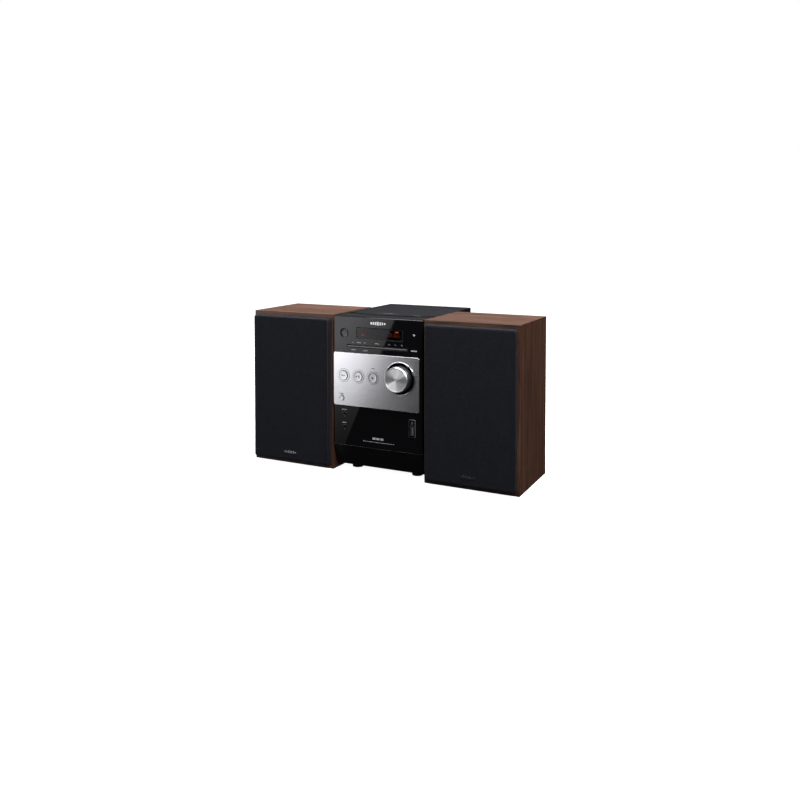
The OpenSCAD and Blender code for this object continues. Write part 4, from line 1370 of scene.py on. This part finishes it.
@dataclass
class Case:
    """The covers, the skirt, the feet and the sockets of the back."""

    edge: float = 0.35
    screw_edge: float = 0.12
    foot_radius: float = 9.0
    clip_start: float = 8.0
    clip_pitch: float = 12.0
    clip_depth: float = 3.4
    clip_low: float = 36.8
    inlet_pin_reach: float = 4.5
    inlet_pin_radius: float = 1.4
    aerial_face: float = 101.2
    aerial_pin: Point = (-48.0, 92.0)
    aerial_pin_radius: float = 4.9
    aerial_lever_left: float = -23.0
    aerial_lever_span: Point = (87.0, 98.0)

    def build(self) -> None:
        """Builds the case."""
        skirt = Extent.of("front_skirt")
        # The skirt's top bevel is painted grey: a painted highlight line along the foot of the front.
        add_refined("front_skirt", 0.5, ["skirt_black", "grey_ink"], lambda mesh: renumber(
            mesh, 1, lambda c, n: c.z > skirt.high.z - 0.6 and n.z > 0.2 and c.y < skirt.low.y + 4.0))
        for node in ("side_cover_left", "side_cover_right", "rear_panel", "base_chassis"):
            add_refined(node, self.edge)
        add_refined("case_screws", self.screw_edge)
        deck = Extent.of("top_deck")
        add_refined("top_deck", self.edge, ["lid_black", "skirt_black"], lambda mesh: renumber(
            mesh, 1, lambda c, n: n.z > 0.5 and 0.9 < deck.high.z - c.z < 1.6 and c.y < 0))
        self.feet()
        self.rear_sockets()

    def feet(self) -> None:
        """Four rubber feet, each with a groove round it."""
        box = Extent.of("unit_feet")
        radius = self.foot_radius
        profile = soften([
            (0, 0.3, 0), (5.5, 0.3, 0), (6.0, 0, 0.2), (8.4, 0, 0.6), (8.7, 3.4, 0.2), (8.2, 4.0, 0.2),
            (8.2, 4.8, 0.2), (radius, 5.4, 0.2), (radius, 8.0, 0), (2.4, 8.0, 0), (2.4, 10.0, 0),
            (0, 10.0, 0),
        ], closed=False)
        parts = []
        for x in (box.low.x + radius, box.high.x - radius):
            for y in (box.low.y + radius, box.high.y - radius):
                parts.append(lathe("foot", profile, (x, y, 0), 48, axis="Z"))
        add_piece("rubber_feet", joined("feet", parts), ["soft_rubber"], "unit_feet")

    def rear_sockets(self) -> None:
        """Speaker clips, mains inlet and aerial block."""
        box = Extent.of("speaker_terminals")
        skin = refined("speaker_terminals", 0.25)
        red = {0, 2}

        def on_clip(centre: Vector) -> bool:
            """Whether a face belongs to one of the clips."""
            return centre.y > box.high.y - self.clip_depth and centre.z > self.clip_low

        def clip(centre: Vector) -> int:
            """The number of the clip that a face stands at, counted from the left."""
            return int((centre.x - box.low.x - self.clip_start) // self.clip_pitch)

        renumber(skin, 1, lambda c, n: on_clip(c) and clip(c) in red)
        renumber(skin, 2, lambda c, n: on_clip(c) and clip(c) not in red)
        add_piece("speaker_clips", skin, ["satin_black", "red_plastic", "dark_recess"], "speaker_terminals")
        inlet = refined("mains_inlet", 0.25)
        middle = Extent.of("mains_inlet").middle
        for x in (middle.x - self.inlet_pin_reach, middle.x + self.inlet_pin_reach):
            renumber(inlet, 1, lambda c, n: from_axis(c, x, middle.z) < self.inlet_pin_radius)
        add_piece("mains_socket", inlet, ["satin_black", "plain_steel"], "mains_inlet")
        aerial = refined("aerial_socket", 0.2)
        low, high = self.aerial_lever_span
        renumber(aerial, 1, lambda c, n: from_axis(c, *self.aerial_pin) < self.aerial_pin_radius
                 and c.y > self.aerial_face)
        renumber(aerial, 2, lambda c, n: c.x > self.aerial_lever_left and c.y > self.aerial_face
                 and low < c.z < high)
        add_piece("aerial_block", aerial, ["satin_black", "plain_steel", "white_plastic"], "aerial_socket")


@dataclass
class DiscCompartment:
    """The lid and what shows when it is open."""

    edge: float = 0.5
    lens_x: float = 23.0
    lens_radius: float = 1.95
    lens_low: float = 223.0
    rack_reach: float = 13.05
    rack_height: float = 3.2

    def build(self) -> None:
        """Builds the lid, clamp, turntable and laser sled."""
        add_refined("cd_lid", self.edge, ["lid_black"])
        box = Extent.of("cd_lid")
        top = box.high.z
        x, y = box.high.x - 22, box.low.y + 9
        under, over = top - 0.03, top + 0.04
        oval_x, oval_y = box.middle.x - 8, box.low.y + 20
        mark = [
            bar((x - 5, y - 0.5, under), (x + 3, y + 0.5, over), 0),
            bar((x + 4.5, y - 1.2, under), (x + 6.5, y + 1.2, over), 0),
            plate("oval", ring_oval(oval_x, oval_y, 9.0, 2.6), [ring_oval(oval_x, oval_y, 8.2, 1.9)], under,
                  0.07, 0, flat=True),
            bar((oval_x - 22, oval_y - 4.4, under), (oval_x + 20, oval_y - 4.0, over), 0),
        ]
        add_detail("lid_push_mark", joined("mark", mark), "grey_ink", "cd_lid", "white_plastic")
        add_refined("disc_clamp", 0.3)
        self.turntable()
        sled = refined("laser_sled", 0.2)
        box = Extent.of("laser_sled")
        lens_y = Extent.of("turntable").middle.y
        renumber(sled, 1, lambda c, n: math.hypot(c.x - self.lens_x, c.y - lens_y) < self.lens_radius
                 and c.z > self.lens_low)
        renumber(sled, 2, lambda c, n: c.y < lens_y - self.rack_reach
                 and c.z < box.low.z + self.rack_height)
        add_piece("laser_carriage", sled, ["satin_black", "lens_blue", "white_plastic"], "laser_sled")

    def turntable(self) -> None:
        """The small platter with its rubber ring, hub and shaft."""
        box = Extent.of("turntable")
        top = box.high.z
        seat = top - 1.1
        profile = soften([
            (0, top - 0.3, 0), (2.2, top - 0.3, 0.2), (2.6, top, 0.2), (6.4, top, 0.5), (7.4, seat, 0),
            (8.2, seat, 0), (8.6, seat - 0.3, 0), (9.6, seat - 0.3, 0), (10.0, seat, 0.1),
            (14.6, seat, 0.3), (15.0, seat - 0.6, 0.2), (15.0, seat - 2.2, 0.2), (5.0, seat - 2.2, 0),
            (5.0, seat - 6, 0), (1.2, seat - 6, 0), (1.2, box.low.z, 0), (0, box.low.z, 0),
        ], closed=False)
        mesh = lathe("platter", profile, (box.middle.x, box.middle.y, 0), 96, axis="Z")
        renumber(mesh, 1, lambda c, n: 10.0 < math.hypot(c.x - box.middle.x, c.y - box.middle.y) < 14.9
                 and c.z > seat - 0.4)
        add_piece("small_platter", mesh, ["satin_black", "soft_rubber"], "turntable")


# ---------------------------------------------------------------- speakers


@dataclass
class Speaker:
    """One bookshelf speaker: cabinet, drivers, port, terminals and grille."""

    side: Side
    cloth_edge: float = 3.2
    cloth_thickness: float = 0.5

    def __post_init__(self) -> None:
        """Reads the places of the speaker from the frame."""
        self.cabinet = Extent.of(self.node("cabinet"))
        self.x = self.cabinet.middle.x
        self.face = self.cabinet.low.y
        self.back = self.cabinet.high.y
        self.woofer_z = Extent.of(self.node("woofer_cone")).middle.z
        self.tweeter_z = Extent.of(self.node("tweeter")).middle.z

    def node(self, part: str) -> str:
        """The CAD node of one of this speaker's parts."""
        return part + "_" + self.side.value

    def build(self) -> None:
        """Builds every piece of the speaker."""
        add_refined(self.node("cabinet"), 0.7, ["walnut_veneer"])
        self.grille()
        self.woofer()
        self.tweeter()
        self.screws()
        self.rear()

    def grille(self) -> None:
        """The stretched cloth over its frame, and a plain badge on it."""
        box = Extent.of(self.node("grille_cloth"))
        add_refined(self.node("grille_frame"), 0.4)
        outer = rounded_rectangle(box.middle.x, box.middle.z, box.size.x, box.size.z, 3.7, 6)
        work = bmesh.new()
        rows = []
        for inset, along in self.cloth_profile(box.size.y):
            shrink = Vector((1 - 2 * inset / box.size.x, 0, 1 - 2 * inset / box.size.z))
            hub = Vector((box.middle.x, box.low.y + along, box.middle.z))
            rows.append([work.verts.new((hub + Vector((x - hub.x, 0, z - hub.z)) * shrink) * MM)
                         for x, z in outer])
        count = len(outer)
        for first, second in zip(rows, rows[1:]):
            for i in range(count):
                work.faces.new((first[i], first[(i + 1) % count], second[(i + 1) % count], second[i]))
        work.faces.new(rows[-1])
        mesh = finished_mesh(work, "cloth", 60.0)
        cloth = add_piece("stretched_cloth_" + self.side.value, mesh, ["grille_weave"],
                          self.node("grille_cloth"))
        solid = cloth.modifiers.new("cloth_thickness", "SOLIDIFY")
        solid.thickness = self.cloth_thickness * MM
        solid.offset = -1.0
        thick = evaluated_mesh(cloth)
        cloth.modifiers.remove(solid)
        cloth.data = thick
        self.node("grille_frame") + "_skin"
        badge = bar_emblem(box.middle.x, box.low.z + 14.0, 22.0, 4.0, box.low.y - 0.7, 1.0)
        add_detail("speaker_badge_" + self.side.value, badge, "bright_edge", self.node("grille_cloth"),
                   "bright_chrome")

    def cloth_profile(self, depth: float) -> Outline:
        """How the cloth turns over the frame's edge: inset from the outline, and depth behind the front."""
        points = [(0.0, depth)]
        for step in range(7):
            turn = math.pi / 2 * step / 6
            points.append((self.cloth_edge * (1 - math.cos(turn)), self.cloth_edge * (1 - math.sin(turn))))
        return points

    def woofer(self) -> None:
        """Frame, cone with its coil, dust cap and rubber surround."""
        add_refined(self.node("woofer_frame"), 0.4)
        centre = (self.x, self.face, self.woofer_z)
        cone = soften([(41.4, 4.8, 0), (39.5, 6.2, 2), (27, 14.5, 60), (15.0, 26.5, 0), (14.4, 27.2, 0),
                       (26.5, 15.4, 60), (39.2, 7.0, 2), (41.4, 5.8, 0)])
        coil = [(12.15, 26.5), (12.65, 26.5), (12.65, 48.0), (12.15, 48.0)]
        parts = [
            lathe("cone", cone, centre, 128, ring=True),
            numbered(lathe("cap", dome_profile(15.2, 25.6, 8.2), centre, 96), 1),
            numbered(lathe("coil", coil, centre, 64, ring=True), 2),
        ]
        add_piece("woofer_cone_skin_" + self.side.value, joined("cone", parts),
                  ["cone_pulp", "driver_paint", "copper_winding"], self.node("woofer_cone"))
        turns = [math.pi * i / 14 for i in range(15)]
        roll = [(44.6 + 3.2 * math.cos(t), 0.9 - 2.9 * math.sin(t)) for t in turns]
        roll = [(48.6, 0.9)] + roll + [(41.2, 3.0), (40.9, 4.9), (40.0, 5.4)]
        mesh = lathe("roll", roll, centre, 128)
        mesh.name = "surround"
        mesh.materials.append(FINISHES["soft_rubber"])
        surround = placed("rubber_surround_" + self.side.value, mesh)
        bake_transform(surround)

    def tweeter(self) -> None:
        """Flange with a shallow horn, silk dome and the magnet behind."""
        box = Extent.of(self.node("tweeter"))
        near = box.low.y
        flange = box.size.x / 2
        profile = soften([
            (12.6, near + 4.2, 0), (18.5, near, 1.5), (flange, near, 0.6), (flange, near + 2.4, 0),
            (20.9, near + 2.4, 0), (20.9, box.high.y, 0), (0, box.high.y, 0),
        ], closed=False)
        centre = (self.x, 0, box.middle.z)
        parts = [numbered(lathe("dome", dome_profile(12.6, near + 4.6, 3.4), centre, 96), 1),
                 lathe("flange", profile, centre, 96)]
        add_piece("dome_tweeter_" + self.side.value, joined("tweeter", parts), ["satin_black", "silk_dome"],
                  self.node("tweeter"))

    def screws(self) -> None:
        """The four screws of each driver's flange, laid out in rings."""
        head = soften([(0, -0.5, 0), (0.9, -0.5, 0), (1.0, -1.1, 0.1), (2.6, -0.8, 0.5), (2.9, 0.1, 0)],
                      closed=False)
        rings = []
        for z, radius in ((self.woofer_z, 52.8), (self.tweeter_z, 22.3)):
            unit = lathe("screw", head, (0, 0, 0), 20)
            start = (self.x, self.face - 2.4, z)
            rings.append(Repeat(4, start, radius).make(unit, FINISHES["plain_steel"]))
        add_detail("driver_screws_" + self.side.value, joined("screws", rings), "plain_steel",
                   self.node("woofer_frame"), "steel")

    def rear(self) -> None:
        """The bass port with a flared mouth and the terminal plate."""
        box = Extent.of(self.node("port_tube"))
        profile = soften([
            (14.5, box.low.y, 0), (14.5, box.high.y - 4, 6), (18.4, box.high.y, 0.6),
            (19.5, box.high.y, 0.4), (19.5, box.high.y - 2, 0), (16.0, box.high.y - 2, 0),
            (16.0, box.low.y, 0),
        ])
        port = lathe("port", profile, (box.middle.x, 0, box.middle.z), 96, ring=True)
        add_piece("flared_port_" + self.side.value, port, ["satin_black"], self.node("port_tube"))
        skin = refined(self.node("terminal_plate"), 0.3)
        box = Extent.of(self.node("terminal_plate"))
        lever = self.back + 2.2
        renumber(skin, 1, lambda c, n: c.y > lever and c.x > box.middle.x)
        renumber(skin, 2, lambda c, n: c.y > lever and c.x < box.middle.x)
        add_piece("spring_terminals_" + self.side.value, skin,
                  ["satin_black", "red_plastic", "dark_recess"], self.node("terminal_plate"))


# ---------------------------------------------------------------- inside


@dataclass
class Inside:
    """The parts inside the case: they keep their CAD shape and get their own finishes."""

    def build(self) -> None:
        """Dresses every CAD node that still shows."""
        for name, node in frame["nodes"].items():
            if node.hide_render:
                continue
            node.data.materials.clear()
            node.data.materials.append(FINISHES[SLOT_FINISH[NODE_SLOT[name]]])
            LOG.info("%s: CAD shape kept", name)


# ---------------------------------------------------------------- studio


@dataclass
class Studio:
    """Plain pale floor, soft light from above, a low reflector and the camera."""

    camera_place: Place = (588.0, -1201.7, 385.9)
    camera_turn: float = 26.33
    camera_tilt: float = 2.0
    lens: float = 37.9
    shift: float = -0.1886
    floor_glow: float = 0.97
    reflector_edge: Point = (-137.5, -232.8)
    reflector_slant: float = 0.445
    reflector_reach: float = 4000.0
    box_size: float = 1.5
    box_place: Place = (50.0, 0.0, 1500.0)
    box_power: float = 52.0
    fill_place: Place = (800.0, -600.0, 850.0)
    fill_aim: Place = (180.0, -40.0, 200.0)
    fill_size: float = 0.4
    fill_power: float = 7.0
    screen_back: float = -2000.0
    screen_left: float = -2600.0
    screen_bright: float = -1290.0
    screen_right: float = -830.0
    screen_height: float = 1700.0
    screen_glow: float = 3.3

    def build(self) -> None:
        """Sets up the floor, lights and camera."""
        bpy.context.scene.view_settings.view_transform = "Standard"
        self.camera()
        self.floor()
        self.reflector()
        self.screen()
        self.world()
        self.light()

    def backdrop(self, name: str, corners: Sequence[Place], finish: bpy.types.Material) -> bpy.types.Object:
        """Adds a flat sheet that isn't part of the object.

        Args:
            name: Its name.
            corners: Its corners.
            finish: Its material.

        Returns:
            The sheet.
        """
        work = bmesh.new()
        work.faces.new([work.verts.new(Vector(corner) * MM) for corner in corners])
        sheet = placed(name, finished_mesh(work, name))
        sheet.data.materials.append(finish)
        sheet.visible_diffuse = False
        sheet.visible_transmission = False
        return sheet

    def floor(self) -> None:
        """A large round pale floor that shows only soft contact shadows."""
        recipe = Recipe("pale_floor")
        tone = recipe.ramp(recipe.noise(3.0), [(0.0, (0.80, 0.80, 0.80)), (1.0, (0.84, 0.84, 0.84))])
        finish = recipe.surface({
            "Base Color": tone, "Roughness": 0.9, "Specular IOR Level": 0.0,
            "Emission Color": (1.0, 1.0, 1.0, 1.0), "Emission Strength": self.floor_glow,
        })
        floor = self.backdrop("floor", [(x, y, 0.0) for x, y in ring_points(0, 0, 40000.0, 96)], finish)
        floor.visible_glossy = False

    def reflector(self) -> None:
        """A low sheet that only polished faces show, with a slanting edge on its right."""
        x, y = self.reflector_edge
        near, far, left = -104.0, -self.reflector_reach, -self.reflector_reach
        corners = [(x + (at - y) * self.reflector_slant, at) for at in (near, far)]
        corners += [(left, far), (left, near)]
        recipe = Recipe("reflector")
        length = math.hypot(1.0, self.reflector_slant)
        normal = (-1.0 / length, self.reflector_slant / length, 0.0)
        offset = recipe.add("VectorMath", {0: recipe.place, 1: (x * MM, y * MM, 0.0)}, operation="SUBTRACT")
        inward = recipe.add("VectorMath", {0: offset.outputs[0], 1: normal}, operation="DOT_PRODUCT")
        depth = recipe.add("SeparateXYZ", {0: recipe.place}).outputs[1]
        ahead = recipe.add("MapRange", {0: depth, 1: -0.2, 2: -1.2, 3: 0.22, 4: 1.7}).outputs[0]
        spread = {0: inward.outputs["Value"], 1: 0.0, 2: 0.17, 3: 0.45, 4: 1.0}
        rise = recipe.add("MapRange", spread).outputs[0]
        finish = recipe.surface({
            "Base Color": (0.0, 0.0, 0.0, 1.0), "Specular IOR Level": 0.0,
            "Emission Color": (0.97, 0.97, 1.0, 1.0),
            "Emission Strength": recipe.calc("MULTIPLY", ahead, rise),
        })
        self.hidden_light("reflector", [(x, y, 1.0) for x, y in corners], finish)

    def screen(self) -> None:
        """An upright sheet on the front's left that brushed metal shows, fading towards the right."""
        recipe = Recipe("screen")
        across = recipe.add("SeparateXYZ", {0: recipe.place}).outputs[0]
        glow = recipe.add("MapRange", {0: across, 1: self.screen_right * MM, 2: self.screen_bright * MM,
                                       3: 0.0, 4: self.screen_glow})
        finish = recipe.surface({
            "Base Color": (0.0, 0.0, 0.0, 1.0), "Specular IOR Level": 0.0,
            "Emission Color": (1.0, 1.0, 1.0, 1.0), "Emission Strength": glow.outputs[0],
        })
        y, low, high = self.screen_back, 20.0, self.screen_height
        left, right = self.screen_left, self.screen_right
        corners = [(left, y, low), (left, y, high), (right, y, high), (right, y, low)]
        self.hidden_light("screen", corners, finish)

    def hidden_light(self, name: str, corners: Sequence[Place], finish: bpy.types.Material) -> None:
        """A glowing sheet that shows only as a reflection."""
        sheet = self.backdrop(name, corners, finish)
        sheet.visible_camera = False
        sheet.visible_shadow = False

    def world(self) -> None:
        """White behind the floor's edge, and dim above and around the object."""
        world = bpy.data.worlds.new("surrounding")
        world.use_nodes = True
        tree = world.node_tree
        add, link = tree.nodes.new, tree.links.new
        dim = tree.nodes["Background"]
        up = add("ShaderNodeSeparateXYZ")
        ramp = add("ShaderNodeValToRGB")
        link(add("ShaderNodeTexCoord").outputs["Generated"], up.inputs[0])
        link(up.outputs[2], ramp.inputs[0])
        stops = ((0.0, 0.02), (0.02, 0.035), (0.5, 0.12), (1.0, 0.3))
        while len(ramp.color_ramp.elements) < len(stops):
            ramp.color_ramp.elements.new(0.5)
        for element, (position, level) in zip(ramp.color_ramp.elements, stops):
            element.position = position
            element.color = (level, level, level * 1.03, 1.0)
        link(ramp.outputs[0], dim.inputs["Color"])
        white = add("ShaderNodeBackground")
        white.inputs["Color"].default_value = (1.0, 1.0, 1.0, 1.0)
        choose = add("ShaderNodeMixShader")
        link(add("ShaderNodeLightPath").outputs["Is Camera Ray"], choose.inputs[0])
        link(dim.outputs[0], choose.inputs[1])
        link(white.outputs[0], choose.inputs[2])
        link(choose.outputs[0], tree.nodes["World Output"].inputs[0])
        bpy.context.scene.world = world

    def light(self) -> None:
        """One large soft box overhead, and a weak fill on the front's right."""
        below = (*self.box_place[:2], 0.0)
        for name, place, aim, size, power in (
            ("soft_box", self.box_place, below, self.box_size, self.box_power),
            ("fill_box", self.fill_place, self.fill_aim, self.fill_size, self.fill_power),
        ):
            light = bpy.data.lights.new(name, "AREA")
            light.size = size
            light.energy = power
            lamp = placed(name, light)
            lamp.location = Vector(place) * MM
            lamp.rotation_euler = (Vector(aim) - Vector(place)).to_track_quat("-Z", "Y").to_euler()

    def camera(self) -> None:
        """A camera a little above the object's top, right of the middle."""
        camera = bpy.data.cameras.new("camera")
        camera.lens = self.lens
        camera.shift_y = self.shift
        holder = placed("camera", camera)
        holder.location = Vector(self.camera_place) * MM
        holder.rotation_euler = (math.radians(90 - self.camera_tilt), 0, math.radians(self.camera_turn))
        bpy.context.scene.camera = holder


def main() -> None:
    """Builds the system, piece by piece, and logs each builder's name."""
    logging.basicConfig(level=logging.INFO, format="%(message)s")
    builders = [Studio(), FrontPanel(), Controls(), Case(), DiscCompartment(), Speaker(Side.LEFT),
                Speaker(Side.RIGHT), Inside()]
    for builder in builders:
        LOG.info("building %s", type(builder).__name__)
        builder.build()


if __name__ == "__main__":
    main()
